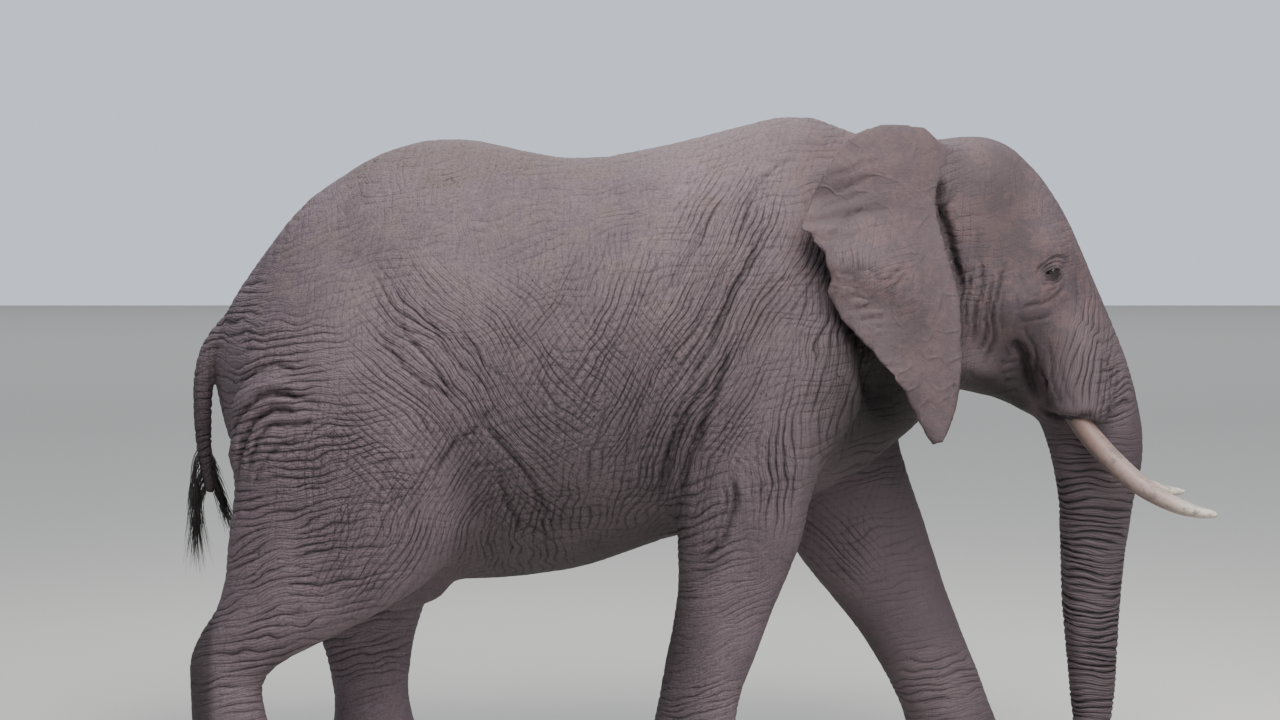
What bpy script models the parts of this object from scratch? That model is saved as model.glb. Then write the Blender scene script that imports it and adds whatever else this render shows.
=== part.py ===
"""A walking African bush elephant bull at life size, as a still model in separate named parts.

+X is forward, +Y is the animal's left and +Z is up. The origin lies on the floor under the middle
of the whole model. Everything is in metres.

The flesh starts as tubes lofted through cross-sections. They are fused, smoothed, swelled over
the big bones and muscles, and then parted into the pieces that a person would name. Ears, tail,
tusks, eyes and toenails are solids of their own, let into the flesh with a small gap.
"""

import math
from collections import namedtuple

import bmesh
import bpy
import numpy as np
from mathutils import Matrix, Vector

GAP = 0.0004  # clearance between neighbouring solids
TUSK_GAP = 0.0008
THIGH_GAP = 0.13  # from the middle of the body to the inner side of the blocks that part the legs
FLAT = math.radians(0.7)  # facets closer to level than this are merged
VOXEL = 0.026  # grain at which the flesh is fused
SMOOTHING_LOSS = 0.006  # how far smoothing draws the skin in, made good before it
RIGHT, LEFT = -1, 1
FLESH_TRIANGLES = 3350
DETAIL_WEIGHT = 0.01  # how strongly the small facets are kept where detail matters
BLOCK_DEPTH = 0.80  # across the body, of the blocks that part the legs from it

SKIN = (0.155, 0.122, 0.112)
IVORY = (0.62, 0.50, 0.38)
HORN = (0.30, 0.25, 0.20)
EYE = (0.045, 0.025, 0.015)
HAIR = (0.018, 0.015, 0.014)

# A cross-section seen from the side runs from the point a to the point b, each (x, z). It lies
# across the body at y and is half_width wide at the share `widest` of the way from a to b. The
# two corner numbers square it off above 2 and sharpen it below 2, towards a and towards b.
Section = namedtuple("Section", "a b half_width y widest corner_a corner_b")


def section(a, b, half_width, y=0.0, widest=0.5, corner_a=2.0, corner_b=2.0):
    return Section(a, b, half_width, y, widest, corner_a, corner_b)


# ---------------------------------------------------------------- sizes of the flesh


def upright(x, top, bottom, half_width, **more):
    """A section of the trunk of the body, from its ridge down to its belly line."""
    return section((x, top), (x, bottom), half_width, **more)


def torso_sections():
    ridge = dict(widest=0.58, corner_a=1.65, corner_b=2.0)
    return [
        upright(-2.15, 2.00, 1.80, 0.06, widest=0.5),
        upright(-2.08, 2.15, 1.52, 0.19, widest=0.5),
        upright(-1.95, 2.345, 1.28, 0.31, widest=0.5, corner_a=1.8),
        upright(-1.75, 2.60, 1.08, 0.39, widest=0.52, corner_a=1.8),
        upright(-1.58, 2.725, 1.01, 0.43, widest=0.54, corner_a=1.7),
        upright(-1.38, 2.84, 0.95, 0.47, widest=0.56, corner_a=1.7),
        upright(-1.05, 2.905, 0.91, 0.515, **ridge),
        upright(-0.55, 2.81, 0.955, 0.555, **ridge),
        upright(-0.15, 2.865, 1.085, 0.530, **ridge),
        upright(0.18, 2.945, 1.17, 0.475, **ridge),
        upright(0.48, 3.010, 1.26, 0.395, **ridge),
        upright(0.74, 2.92, 1.38, 0.32, widest=0.56, corner_a=1.8),
        upright(0.94, 2.85, 1.54, 0.25, widest=0.5),
        upright(1.04, 2.78, 1.62, 0.15, widest=0.5),
    ]


def head_sections():
    """Nape, skull, face and trunk in one sweep. The sections fan round the mouth."""
    return [
        section((0.55, 2.88), (0.66, 1.80), 0.34),
        section((0.86, 2.875), (0.95, 1.64), 0.345),
        section((1.06, 2.885), (1.13, 1.74), 0.32),
        section((1.22, 2.895), (1.25, 1.82), 0.350, corner_a=2.1),
        section((1.37, 2.870), (1.36, 1.83), 0.365, corner_a=2.1),
        section((1.51, 2.770), (1.44, 1.83), 0.352, widest=0.48, corner_a=2.2),
        section((1.615, 2.640), (1.50, 1.82), 0.322, widest=0.46, corner_a=2.3),
        section((1.70, 2.485), (1.53, 1.79), 0.288, widest=0.46, corner_a=2.4),
        section((1.78, 2.305), (1.54, 1.75), 0.254, widest=0.48, corner_a=2.4),
        section((1.865, 2.11), (1.555, 1.70), 0.225, corner_a=2.3),
        section((1.945, 1.92), (1.57, 1.65), 0.205, corner_a=2.2),
        section((2.005, 1.72), (1.59, 1.58), 0.19),
        section((2.035, 1.53), (1.62, 1.48), 0.178, corner_b=2.2),
        section((2.025, 1.40), (1.642, 1.38), 0.168, corner_b=2.2),
        section((1.995, 1.26), (1.662, 1.25), 0.156, corner_b=2.3),
        section((1.96, 1.02), (1.672, 1.02), 0.140, corner_b=2.4),
        section((1.94, 0.78), (1.680, 0.78), 0.125, corner_b=2.4),
        section((1.93, 0.55), (1.705, 0.55), 0.110, corner_b=2.4),
        section((1.915, 0.32), (1.725, 0.33), 0.095, corner_b=2.4),
        section((1.905, 0.15), (1.740, 0.18), 0.082, corner_b=2.3),
        section((1.885, 0.055), (1.735, 0.095), 0.070, corner_b=2.2),
        section((1.850, 0.020), (1.740, 0.055), 0.050),
    ]


def jaw_sections():
    return [
        upright(1.02, 2.02, 1.86, 0.15),
        upright(1.12, 2.08, 1.80, 0.26, corner_b=2.4),
        upright(1.24, 2.06, 1.765, 0.265, corner_b=2.4),
        upright(1.36, 2.00, 1.735, 0.205, corner_b=2.3),
        upright(1.46, 1.90, 1.690, 0.145, corner_b=2.2),
        upright(1.54, 1.80, 1.645, 0.100),
        upright(1.600, 1.72, 1.640, 0.060),
    ]


def tusk_sheath_sections(side):
    return [
        section((1.70, 2.20), (1.46, 2.14), 0.085, y=side * 0.20),
        section((1.78, 2.02), (1.52, 1.93), 0.105, y=side * 0.215),
        section((1.835, 1.84), (1.565, 1.77), 0.108, y=side * 0.232),
        section((1.855, 1.70), (1.60, 1.675), 0.090, y=side * 0.250),
        section((1.835, 1.635), (1.64, 1.630), 0.062, y=side * 0.256),
    ]


def level(z, back, front, half_width, y, **more):
    """A section of a leg, level with the floor, from its back to its front."""
    return section((back, z), (front, z), half_width, y=y, **more)


def planted_front_leg(side):
    """The leg at the end of its stance, leaning back under the shoulder."""
    return [
        level(2.68, 0.40, 0.66, 0.04, side * 0.19),
        level(2.50, 0.28, 0.76, 0.09, side * 0.260),
        level(2.25, 0.16, 0.84, 0.135, side * 0.325),
        level(1.95, 0.07, 0.85, 0.165, side * 0.365),
        level(1.70, 0.00, 0.73, 0.175, side * 0.378),
        level(1.48, -0.045, 0.585, 0.175, side * 0.380),
        level(1.30, -0.075, 0.515, 0.172, side * 0.376),
        level(1.12, -0.070, 0.475, 0.168, side * 0.368),
        level(0.95, -0.065, 0.405, 0.160, side * 0.360),
        level(0.78, -0.085, 0.335, 0.154, side * 0.352),
        level(0.60, -0.120, 0.265, 0.152, side * 0.345),
        level(0.45, -0.145, 0.210, 0.155, side * 0.340),
        level(0.30, -0.175, 0.185, 0.170, side * 0.336),
        level(0.16, -0.205, 0.195, 0.193, side * 0.335),
        level(0.06, -0.222, 0.208, 0.206, side * 0.335),
        level(-0.05, -0.215, 0.200, 0.198, side * 0.335),
    ]


def reaching_front_leg(side):
    """The leg that has just landed, reaching forward."""
    return [
        level(2.68, 0.42, 0.68, 0.04, side * 0.19),
        level(2.50, 0.31, 0.80, 0.09, side * 0.260),
        level(2.25, 0.21, 0.90, 0.135, side * 0.325),
        level(1.95, 0.16, 0.97, 0.165, side * 0.365),
        level(1.70, 0.20, 0.975, 0.175, side * 0.374),
        level(1.50, 0.27, 0.975, 0.175, side * 0.374),
        level(1.30, 0.37, 1.030, 0.172, side * 0.366),
        level(1.12, 0.43, 1.095, 0.166, side * 0.358),
        level(0.97, 0.50, 1.140, 0.160, side * 0.350),
        level(0.82, 0.62, 1.190, 0.154, side * 0.344),
        level(0.64, 0.770, 1.255, 0.150, side * 0.336),
        level(0.46, 0.885, 1.330, 0.152, side * 0.330),
        level(0.30, 0.970, 1.385, 0.165, side * 0.328),
        level(0.17, 1.015, 1.440, 0.188, side * 0.328),
        level(0.06, 1.030, 1.470, 0.204, side * 0.328),
        level(-0.05, 1.035, 1.460, 0.196, side * 0.328),
    ]


def planted_hind_leg(side):
    """The leg in mid stance, carrying the hindquarters."""
    return [
        level(2.48, -1.58, -1.22, 0.03, side * 0.22),
        level(2.25, -1.78, -1.12, 0.10, side * 0.290),
        level(1.95, -1.95, -1.02, 0.155, side * 0.325),
        level(1.60, -2.03, -0.98, 0.190, side * 0.340),
        level(1.30, -2.00, -1.00, 0.190, side * 0.340),
        level(1.05, -1.94, -1.06, 0.180, side * 0.335),
        level(0.82, -1.83, -1.20, 0.166, side * 0.330),
        level(0.62, -1.735, -1.275, 0.152, side * 0.325),
        level(0.45, -1.68, -1.305, 0.148, side * 0.320),
        level(0.30, -1.655, -1.310, 0.153, side * 0.318),
        level(0.16, -1.665, -1.275, 0.168, side * 0.318),
        level(0.06, -1.690, -1.235, 0.178, side * 0.318),
        level(-0.05, -1.680, -1.240, 0.170, side * 0.318),
    ]


def pushing_hind_leg(side):
    """The leg at the end of its push: shank swept back, heel up, toes still on the floor."""
    return [
        section((-1.58, 2.48), (-1.20, 2.48), 0.03, y=side * 0.22),
        section((-1.78, 2.25), (-1.08, 2.25), 0.10, y=side * 0.290),
        section((-1.96, 1.95), (-0.96, 1.93), 0.155, y=side * 0.328),
        section((-2.035, 1.62), (-0.93, 1.55), 0.198, y=side * 0.350),
        section((-2.02, 1.36), (-0.97, 1.22), 0.205, y=side * 0.355),
        section((-2.045, 1.12), (-1.13, 0.97), 0.195, y=side * 0.352),
        section((-2.060, 0.95), (-1.36, 0.815), 0.180, y=side * 0.348),
        section((-2.095, 0.825), (-1.60, 0.69), 0.165, y=side * 0.342),
        section((-2.165, 0.72), (-1.79, 0.595), 0.152, y=side * 0.338),
        section((-2.215, 0.60), (-1.895, 0.50), 0.149, y=side * 0.334),
        section((-2.215, 0.46), (-1.900, 0.41), 0.160, y=side * 0.332),
        section((-2.205, 0.30), (-1.870, 0.28), 0.172, y=side * 0.330),
        section((-2.165, 0.14), (-1.825, 0.14), 0.178, y=side * 0.330),
        section((-2.115, 0.03), (-1.795, 0.03), 0.172, y=side * 0.330),
        section((-2.085, -0.05), (-1.805, -0.05), 0.162, y=side * 0.330),
    ]


def sheath_fold_sections():
    """The fold of skin that hangs from the belly in front of the hind legs."""
    return [
        upright(-1.62, 1.10, 0.86, 0.07),
        upright(-1.46, 1.06, 0.775, 0.09),
        upright(-1.32, 1.02, 0.755, 0.090),
        upright(-1.18, 0.99, 0.795, 0.078),
        upright(-1.09, 0.95, 0.850, 0.050),
    ]


def anal_fold_sections():
    """The flap of skin under the root of the tail."""
    return [
        level(1.98, -2.16, -1.95, 0.10, 0.0),
        level(1.86, -2.165, -1.95, 0.095, 0.0),
        level(1.75, -2.135, -1.95, 0.075, 0.0),
        level(1.68, -2.105, -1.98, 0.045, 0.0),
    ]


def tail_sections():
    return [
        section((-1.96, 2.20), (-1.94, 1.96), 0.100),
        section((-2.10, 2.11), (-2.03, 1.95), 0.094),
        section((-2.200, 1.99), (-2.10, 1.90), 0.078),
        section((-2.245, 1.86), (-2.145, 1.83), 0.060),
        section((-2.252, 1.72), (-2.160, 1.72), 0.050),
        section((-2.245, 1.55), (-2.165, 1.56), 0.042),
        section((-2.222, 1.40), (-2.160, 1.41), 0.034),
        section((-2.195, 1.29), (-2.145, 1.30), 0.027),
    ]


def tuft_sections():
    """The brush of bristles at the end of the tail, as one plain closed shape."""
    return [
        section((-2.205, 1.285), (-2.130, 1.30), 0.034),
        section((-2.225, 1.22), (-2.085, 1.235), 0.040),
        section((-2.255, 1.12), (-2.075, 1.14), 0.036),
        section((-2.262, 1.00), (-2.105, 1.02), 0.026),
        section((-2.250, 0.90), (-2.170, 0.92), 0.014),
    ]


# Swellings and hollows over the bones: centre, reach along x, y and z, and how far the skin
# moves out. Each is made on both sides.
MODELLING = [
    ("hip bone", (-1.28, 0.50, 2.50), (0.26, 0.24, 0.22), 0.035),
    ("hollow before the hip", (-0.86, 0.52, 2.42), (0.26, 0.26, 0.30), -0.030),
    ("hip joint", (-1.62, 0.50, 2.02), (0.26, 0.25, 0.30), 0.025),
    ("belly side", (-0.50, 0.66, 1.70), (0.65, 0.30, 0.45), 0.025),
    ("hollow behind the shoulder", (-0.02, 0.60, 2.25), (0.20, 0.28, 0.42), -0.028),
    ("shoulder blade ridge", (0.42, 0.45, 2.52), (0.13, 0.24, 0.34), 0.030),
    ("shoulder point", (0.72, 0.50, 1.90), (0.20, 0.25, 0.26), 0.030),
    ("upper arm muscle", (0.20, 0.62, 1.62), (0.22, 0.20, 0.30), 0.020),
    ("hollow before the shoulder", (0.88, 0.40, 2.30), (0.14, 0.26, 0.35), -0.025),
    ("crown dome", (1.36, 0.13, 2.88), (0.20, 0.12, 0.14), 0.018),
    ("temple hollow", (1.36, 0.36, 2.56), (0.14, 0.14, 0.17), -0.045),
    ("brow", (1.61, 0.31, 2.40), (0.11, 0.10, 0.07), 0.022),
    ("eye socket", (1.585, 0.32, 2.285), (0.075, 0.10, 0.055), -0.016),
    ("cheek bone", (1.43, 0.37, 2.16), (0.15, 0.12, 0.10), 0.030),
    ("cheek hollow", (1.47, 0.30, 1.93), (0.09, 0.14, 0.10), -0.030),
    ("jaw muscle", (1.26, 0.33, 2.05), (0.14, 0.13, 0.18), 0.020),
    ("side of the face", (1.70, 0.25, 2.20), (0.10, 0.12, 0.14), -0.020),
    ("wrist of the planted leg", (0.20, 0.46, 0.62), (0.14, 0.30, 0.12), 0.008),
]

EYE_AT = (1.573, 0.300, 2.301)
EYE_RADIUS = 0.026

TUSK_LINE = [  # x, y and z of the middle of the tusk, and its radius
    (1.585, 0.205, 1.88, 0.046),
    (1.650, 0.232, 1.74, 0.047),
    (1.725, 0.262, 1.615, 0.048),
    (1.790, 0.288, 1.532, 0.049),
    (1.862, 0.316, 1.455, 0.048),
    (1.952, 0.348, 1.375, 0.045),
    (2.040, 0.376, 1.318, 0.040),
    (2.125, 0.398, 1.278, 0.034),
    (2.205, 0.413, 1.255, 0.026),
    (2.262, 0.420, 1.247, 0.016),
    (2.284, 0.422, 1.246, 0.006),
]

LEFT_TUSK_REACH = 0.03  # the left tusk is this much longer, and half as much higher at its tip

EAR_THICKNESS = 0.022
# The ear hangs between its root along the head and its free edge. Both run from top to bottom.
EAR_ROOT = [
    (1.122, 0.300, 2.905),
    (1.089, 0.330, 2.790),
    (1.052, 0.355, 2.660),
    (1.054, 0.380, 2.520),
    (1.091, 0.405, 2.390),
    (1.131, 0.425, 2.230),
    (1.144, 0.450, 2.055),
    (1.138, 0.475, 1.880),
    (1.114, 0.500, 1.730),
    (1.075, 0.520, 1.605),
]
EAR_EDGE = [
    (0.806, 0.400, 2.943),
    (0.670, 0.455, 2.883),
    (0.564, 0.500, 2.736),
    (0.480, 0.525, 2.564),
    (0.458, 0.530, 2.505),
    (0.512, 0.545, 2.445),
    (0.570, 0.560, 2.330),
    (0.588, 0.570, 2.190),
    (0.665, 0.572, 2.060),
    (0.743, 0.570, 1.990),
    (0.830, 0.562, 1.887),
    (0.905, 0.552, 1.783),
    (0.964, 0.542, 1.678),
    (1.030, 0.530, 1.553),
]

# Toenails: their angles from straight ahead, counted outwards, and how deep their middle lies.
FRONT_NAILS = (-38, -8, 22, 54)
HIND_NAILS = (-32, 2, 36)
NAIL_DEPTH = 0.012
NAIL_HEIGHT = 0.052
NAIL_SIZE = (0.030, 0.050, 0.046)  # half its thickness, breadth and height
NAIL_LEAN = math.radians(-12)


# ---------------------------------------------------------------- modelling helpers


def material(name, colour, roughness):
    made = bpy.data.materials.new(name)
    made.use_nodes = True
    shader = made.node_tree.nodes["Principled BSDF"]
    shader.inputs["Base Color"].default_value = (*colour, 1.0)
    shader.inputs["Roughness"].default_value = roughness
    shader.inputs["Metallic"].default_value = 0.0
    return made


def curve_through(rows, count):
    """Rows of numbers read at `count` even steps of a Catmull-Rom curve through them."""
    rows = np.asarray(rows, float)
    rows = np.vstack([2 * rows[0] - rows[1], rows, 2 * rows[-1] - rows[-2]])
    at = np.linspace(0, len(rows) - 3, count)
    first = np.minimum(at.astype(int), len(rows) - 4)
    t = (at - first)[:, None]
    p0, p1, p2, p3 = (rows[first + i] for i in range(4))
    return 0.5 * (
        2 * p1 + (p2 - p0) * t + (2 * p0 - 5 * p1 + 4 * p2 - p3) * t**2
        + (3 * p1 - p0 - 3 * p2 + p3) * t**3
    )


def object_of(name, bm, finish=None):
    bmesh.ops.recalc_face_normals(bm, faces=bm.faces)
    mesh = bpy.data.meshes.new(name)
    bm.to_mesh(mesh)
    bm.free()
    made = bpy.data.objects.new(name, mesh)
    bpy.context.scene.collection.objects.link(made)
    if finish:
        mesh.materials.append(finish)
    return made


def rolled_grid(name, rows, sides, place, finish=None):
    """A grid rolled into a tube: place(row, angle) says where each point goes. Ends are capped."""
    bm = bmesh.new()
    bmesh.ops.create_grid(bm, x_segments=rows - 1, y_segments=sides, size=0.5)
    for vert in bm.verts:
        row = round((vert.co.x + 0.5) * (rows - 1))
        turn = round((vert.co.y + 0.5) * sides) % sides
        vert.co = place(row, math.tau * turn / sides)
    bmesh.ops.remove_doubles(bm, verts=bm.verts, dist=1e-6)
    bmesh.ops.holes_fill(bm, edges=bm.edges, sides=0)
    return object_of(name, bm, finish)


def power(value, corner):
    return math.copysign(abs(value) ** (2 / corner), value)


def tube(name, sections, sides, steps=4, grow=0.0, finish=None):
    """A closed tube through the sections, thickened by `grow` all round."""
    table = [[*s.a, *s.b, s.half_width, s.y, s.widest, s.corner_a, s.corner_b] for s in sections]
    rows = curve_through(table, steps * (len(sections) - 1) + 1)

    def place(row, angle):
        ax, az, bx, bz, half_width, y, widest, corner_a, corner_b = rows[row]
        a, b = Vector((ax, az)), Vector((bx, bz))
        out = (a - b).normalized() * grow
        a, b = a + out, b - out
        middle = a.lerp(b, widest)
        lengthwise, across = math.cos(angle), math.sin(angle)
        end, corner = (a, corner_a) if lengthwise > 0 else (b, corner_b)
        x, z = middle.lerp(end, abs(power(lengthwise, corner)))
        return Vector((x, y + (half_width + grow) * power(across, corner), z))

    return rolled_grid(name, len(rows), sides, place, finish)


def evaluate(obj):
    """Applies the object's modifiers."""
    graph = bpy.context.evaluated_depsgraph_get()
    mesh = bpy.data.meshes.new_from_object(obj.evaluated_get(graph))
    obj.modifiers.clear()
    obj.data = mesh
    return obj


def modified(obj, kind, **settings):
    modifier = obj.modifiers.new(kind.title(), kind)
    for name, value in settings.items():
        setattr(modifier, name, value)
    return evaluate(obj)


def remove(obj):
    bpy.data.objects.remove(obj)


def joined(name, objects):
    bm = bmesh.new()
    for obj in objects:
        bm.from_mesh(obj.data)
        remove(obj)
    return object_of(name, bm)


def boolean(obj, operation, other):
    """Cuts obj with the other solid, and keeps the largest body of what is left."""
    modified(obj, "BOOLEAN", operation=operation, object=other, solver="EXACT")
    bm = bmesh.new()
    bm.from_mesh(obj.data)
    bodies, seen = [], set()
    for start in bm.verts:
        if start in seen:
            continue
        body, todo = [], [start]
        seen.add(start)
        while todo:
            vert = todo.pop()
            body.append(vert)
            fresh = {e.other_vert(vert) for e in vert.link_edges} - seen
            seen |= fresh
            todo += fresh
        bodies.append(body)
    bodies.sort(key=len, reverse=True)
    bmesh.ops.delete(bm, geom=[v for body in bodies[1:] for v in body], context="VERTS")
    bmesh.ops.dissolve_limit(bm, angle_limit=FLAT, verts=bm.verts, edges=bm.edges)
    bmesh.ops.triangulate(bm, faces=bm.faces)
    bm.to_mesh(obj.data)
    bm.free()
    return obj


def part_off(flesh, name, region, grown_region, finish):
    """Takes the part of the flesh inside the region off, as an object of its own."""
    piece = flesh.copy()
    piece.data = flesh.data.copy()
    piece.name = piece.data.name = name
    bpy.context.scene.collection.objects.link(piece)
    boolean(piece, "INTERSECT", region)
    boolean(flesh, "DIFFERENCE", grown_region)
    remove(region)
    remove(grown_region)
    piece.data.materials.clear()
    piece.data.materials.append(finish)
    return piece


def block(size, at, tilt=0.0, grow=0.0):
    """A box of that size, centred at `at`, turned about the y axis."""
    bm = bmesh.new()
    bmesh.ops.create_cube(bm, size=1.0)
    bmesh.ops.scale(bm, verts=bm.verts, vec=[side + 2 * grow for side in size])
    turned = Matrix.Translation(at) @ Matrix.Rotation(tilt, 4, "Y")
    bmesh.ops.transform(bm, matrix=turned, verts=bm.verts)
    return object_of("block", bm)


def blocked_off(flesh, name, size, at, tilt, finish):
    at = Vector(at)
    return part_off(
        flesh, name, block(size, at, tilt), block(size, at, tilt, GAP), finish
    )


def swell(obj, at, reach, out):
    """Moves the skin out, or in, by a smooth mound round a point on either side."""
    count = len(obj.data.vertices)
    points, normals = np.empty(count * 3), np.empty(count * 3)
    obj.data.vertices.foreach_get("co", points)
    obj.data.vertices.foreach_get("normal", normals)
    points, normals = points.reshape(-1, 3), normals.reshape(-1, 3)
    for side in (RIGHT, LEFT):
        away = (points - (at[0], side * at[1], at[2])) / reach
        points += normals * (out * np.exp(-(away**2).sum(axis=1)))[:, None]
    obj.data.vertices.foreach_set("co", points.ravel())
    obj.data.update()


# ---------------------------------------------------------------- the pieces


def fused_flesh():
    """Body, head and legs as one smooth skin with flat soles, reduced to its final facets."""
    tubes = [
        tube(name, sections, sides, grow=SMOOTHING_LOSS)
        for name, sections, sides in (
            ("torso", torso_sections(), 40),
            ("head", head_sections(), 36),
            ("jaw", jaw_sections(), 28),
            ("right_sheath", tusk_sheath_sections(RIGHT), 24),
            ("left_sheath", tusk_sheath_sections(LEFT), 24),
            ("front_right", planted_front_leg(RIGHT), 28),
            ("front_left", reaching_front_leg(LEFT), 28),
            ("hind_right", pushing_hind_leg(RIGHT), 28),
            ("hind_left", planted_hind_leg(LEFT), 28),
            ("belly_fold", sheath_fold_sections(), 24),
            ("anal_fold", anal_fold_sections(), 24),
        )
    ]
    flesh = joined("torso", tubes)
    modified(flesh, "REMESH", mode="VOXEL", voxel_size=VOXEL)
    modified(flesh, "SMOOTH", factor=0.5, iterations=8)
    smooth_body(flesh)
    for _, at, reach, out in MODELLING:
        swell(flesh, at, reach, out)
    modified(flesh, "SMOOTH", factor=0.5, iterations=2)
    reduce_flesh(flesh)
    above_floor = block((6, 3, 4), (0, 0, 2))
    boolean(flesh, "INTERSECT", above_floor)
    remove(above_floor)
    return flesh


def smooth_body(flesh):
    """Blends the tops of the legs into the body, and leaves the head and the lower legs alone."""
    body = flesh.vertex_groups.new(name="body")
    for vert in flesh.data.vertices:
        x, _, z = vert.co
        share = min(1.0, max(0.0, (1.05 - x) / 0.15)) * min(1.0, max(0.0, (z - 1.15) / 0.3))
        body.add([vert.index], share, "REPLACE")
    modified(flesh, "SMOOTH", factor=0.5, iterations=22, vertex_group="body")
    flesh.vertex_groups.clear()


def reduce_flesh(flesh):
    """Facets are small on the head, trunk and feet and larger on the body."""
    plain = flesh.vertex_groups.new(name="plain")
    for vert in flesh.data.vertices:
        x, _, z = vert.co
        head = min(1.0, max(0.0, (x - 1.0) / 0.3)) if z > 0.5 or x > 1.6 else 0.0
        foot = 0.2 * min(1.0, max(0.0, (0.6 - z) / 0.3))
        plain.add([vert.index], 1.0 - 0.9 * max(head, foot), "REPLACE")
    faces = 2 * len(flesh.data.polygons)
    modified(
        flesh, "DECIMATE", ratio=FLESH_TRIANGLES / faces, use_collapse_triangulate=True,
        vertex_group="plain", vertex_group_factor=DETAIL_WEIGHT,
    )
    flesh.vertex_groups.clear()


def toenail(name, at, heading, size, finish=None):
    """A domed nail plate: a flattened ball turned to the way it faces."""
    bm = bmesh.new()
    bmesh.ops.create_uvsphere(bm, u_segments=6, v_segments=3, radius=1.0)
    bmesh.ops.scale(bm, verts=bm.verts, vec=size)
    turned = (
        Matrix.Translation(at) @ Matrix.Rotation(heading, 4, "Z")
        @ Matrix.Rotation(NAIL_LEAN, 4, "Y")
    )
    bmesh.ops.transform(bm, matrix=turned, verts=bm.verts)
    bmesh.ops.triangulate(bm, faces=bm.faces)
    return object_of(name, bm, finish)


def let_in(flesh, grown):
    """Cuts a seat out of the flesh with a copy of the solid that is fatter by the gap."""
    boolean(flesh, "DIFFERENCE", grown)
    remove(grown)


def nails_on(foot, name, inside, angles, side, finish):
    """Nails round the front of a foot, set into its skin where a ray from inside meets it."""
    grown = [half + GAP for half in NAIL_SIZE]
    for number, degrees in enumerate(angles, 1):
        angle = math.radians(degrees) * side
        heading = Vector((math.cos(angle), math.sin(angle), 0.0))
        _, met, _, _ = foot.ray_cast(inside, heading)
        at = met - heading * NAIL_DEPTH
        toenail(f"nail_{name}_{number}", at, angle, NAIL_SIZE, finish)
        let_in(foot, toenail("seat", at, angle, grown))


def eyeball(name, side, radius, finish=None):
    bm = bmesh.new()
    bmesh.ops.create_uvsphere(bm, u_segments=10, v_segments=7, radius=radius)
    at = (EYE_AT[0], side * EYE_AT[1], EYE_AT[2])
    bmesh.ops.translate(bm, vec=at, verts=bm.verts)
    return object_of(name, bm, finish)


def tusk(name, side, grow=0.0, finish=None):
    """A horn-shaped sweep along the tusk's middle line."""
    rows = curve_through(TUSK_LINE, 14)
    rows[:, 1] *= side
    if side == LEFT:
        rows[:, 0] += LEFT_TUSK_REACH * np.linspace(0, 1, len(rows)) ** 2
        rows[:, 2] += LEFT_TUSK_REACH / 2 * np.linspace(0, 1, len(rows)) ** 2
    ahead = np.gradient(rows[:, :3], axis=0)

    def place(row, angle):
        x, y, z, radius = rows[row]
        forward = Vector(ahead[row]).normalized()
        across = forward.cross(Vector((0, 1, 0))).normalized()
        up = forward.cross(across)
        out = math.cos(angle) * across + math.sin(angle) * up
        root = forward * grow if row == 0 else Vector()
        return Vector((x, y, z)) - root + out * (radius + grow)

    return rolled_grid(name, len(rows), 8, place, finish)


def ear(name, side, finish):
    """A thin hanging blade between the ear's root and its free edge."""
    down, along = 15, 7
    root = curve_through(EAR_ROOT, down)
    edge = curve_through(EAR_EDGE, down)
    bm = bmesh.new()
    bmesh.ops.create_grid(bm, x_segments=down - 1, y_segments=along - 1, size=0.5)
    for vert in bm.verts:
        row = round((vert.co.x + 0.5) * (down - 1))
        across = vert.co.y + 0.5
        drop = row / (down - 1)
        x, y, z = root[row] + (edge[row] - root[row]) * across
        arch = math.sin(math.pi * across)
        y += 0.040 * arch * math.sin(math.pi * min(1.0, 1.25 * drop))
        z += 0.016 * arch * max(0.0, 1 - 6 * drop)
        vert.co = (x, side * y, z)
    made = object_of(name, bm, finish)
    modified(made, "SOLIDIFY", thickness=EAR_THICKNESS, offset=0.0, use_even_offset=True)
    return made


def cut_clear(solid, neighbour):
    """Cuts a solid back to where its neighbour begins, less the gap."""
    grown = neighbour.copy()
    grown.data = neighbour.data.copy()
    bpy.context.scene.collection.objects.link(grown)
    modified(grown, "DISPLACE", strength=GAP, mid_level=0.0, direction="NORMAL")
    boolean(solid, "DIFFERENCE", grown)
    remove(grown)


def part_legs(flesh, finish):
    """Each leg is parted from the body by a leaning block, then across by level cuts."""
    middle = BLOCK_DEPTH / 2
    pieces = {}
    for name, side, width, (x, z), lean in (
        ("forearm_front_right", RIGHT, 0.80, (0.145, 0.655), 11),
        ("forearm_front_left", LEFT, 0.82, (0.975, 0.640), -23),
        ("thigh_hind_right", RIGHT, 1.20, (-1.805, 0.656), 20),
        ("thigh_hind_left", LEFT, 1.16, (-1.669, 0.564), 10),
    ):
        size = (width, BLOCK_DEPTH, 1.70)
        at = (x, side * (THIGH_GAP + middle), z)
        pieces[name] = blocked_off(flesh, name, size, at, math.radians(lean), finish)
    for name, upper, x, y, top, lean in (
        ("foot_front_right", "forearm_front_right", -0.01, -middle, 0.32, 0),
        ("foot_front_left", "forearm_front_left", 1.15, middle, 0.32, 0),
        ("shank_hind_right", "thigh_hind_right", -2.12, -middle, 0.83, 24),
        ("foot_hind_right", "shank_hind_right", -2.05, -middle, 0.48, 16),
        ("shank_hind_left", "thigh_hind_left", -1.50, middle, 0.77, 0),
        ("foot_hind_left", "shank_hind_left", -1.45, middle, 0.28, 0),
    ):
        size, at = (1.2, BLOCK_DEPTH, 1.0), (x, y, top - 0.5)
        pieces[name] = blocked_off(pieces[upper], name, size, at, math.radians(lean), finish)
    return pieces


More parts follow.
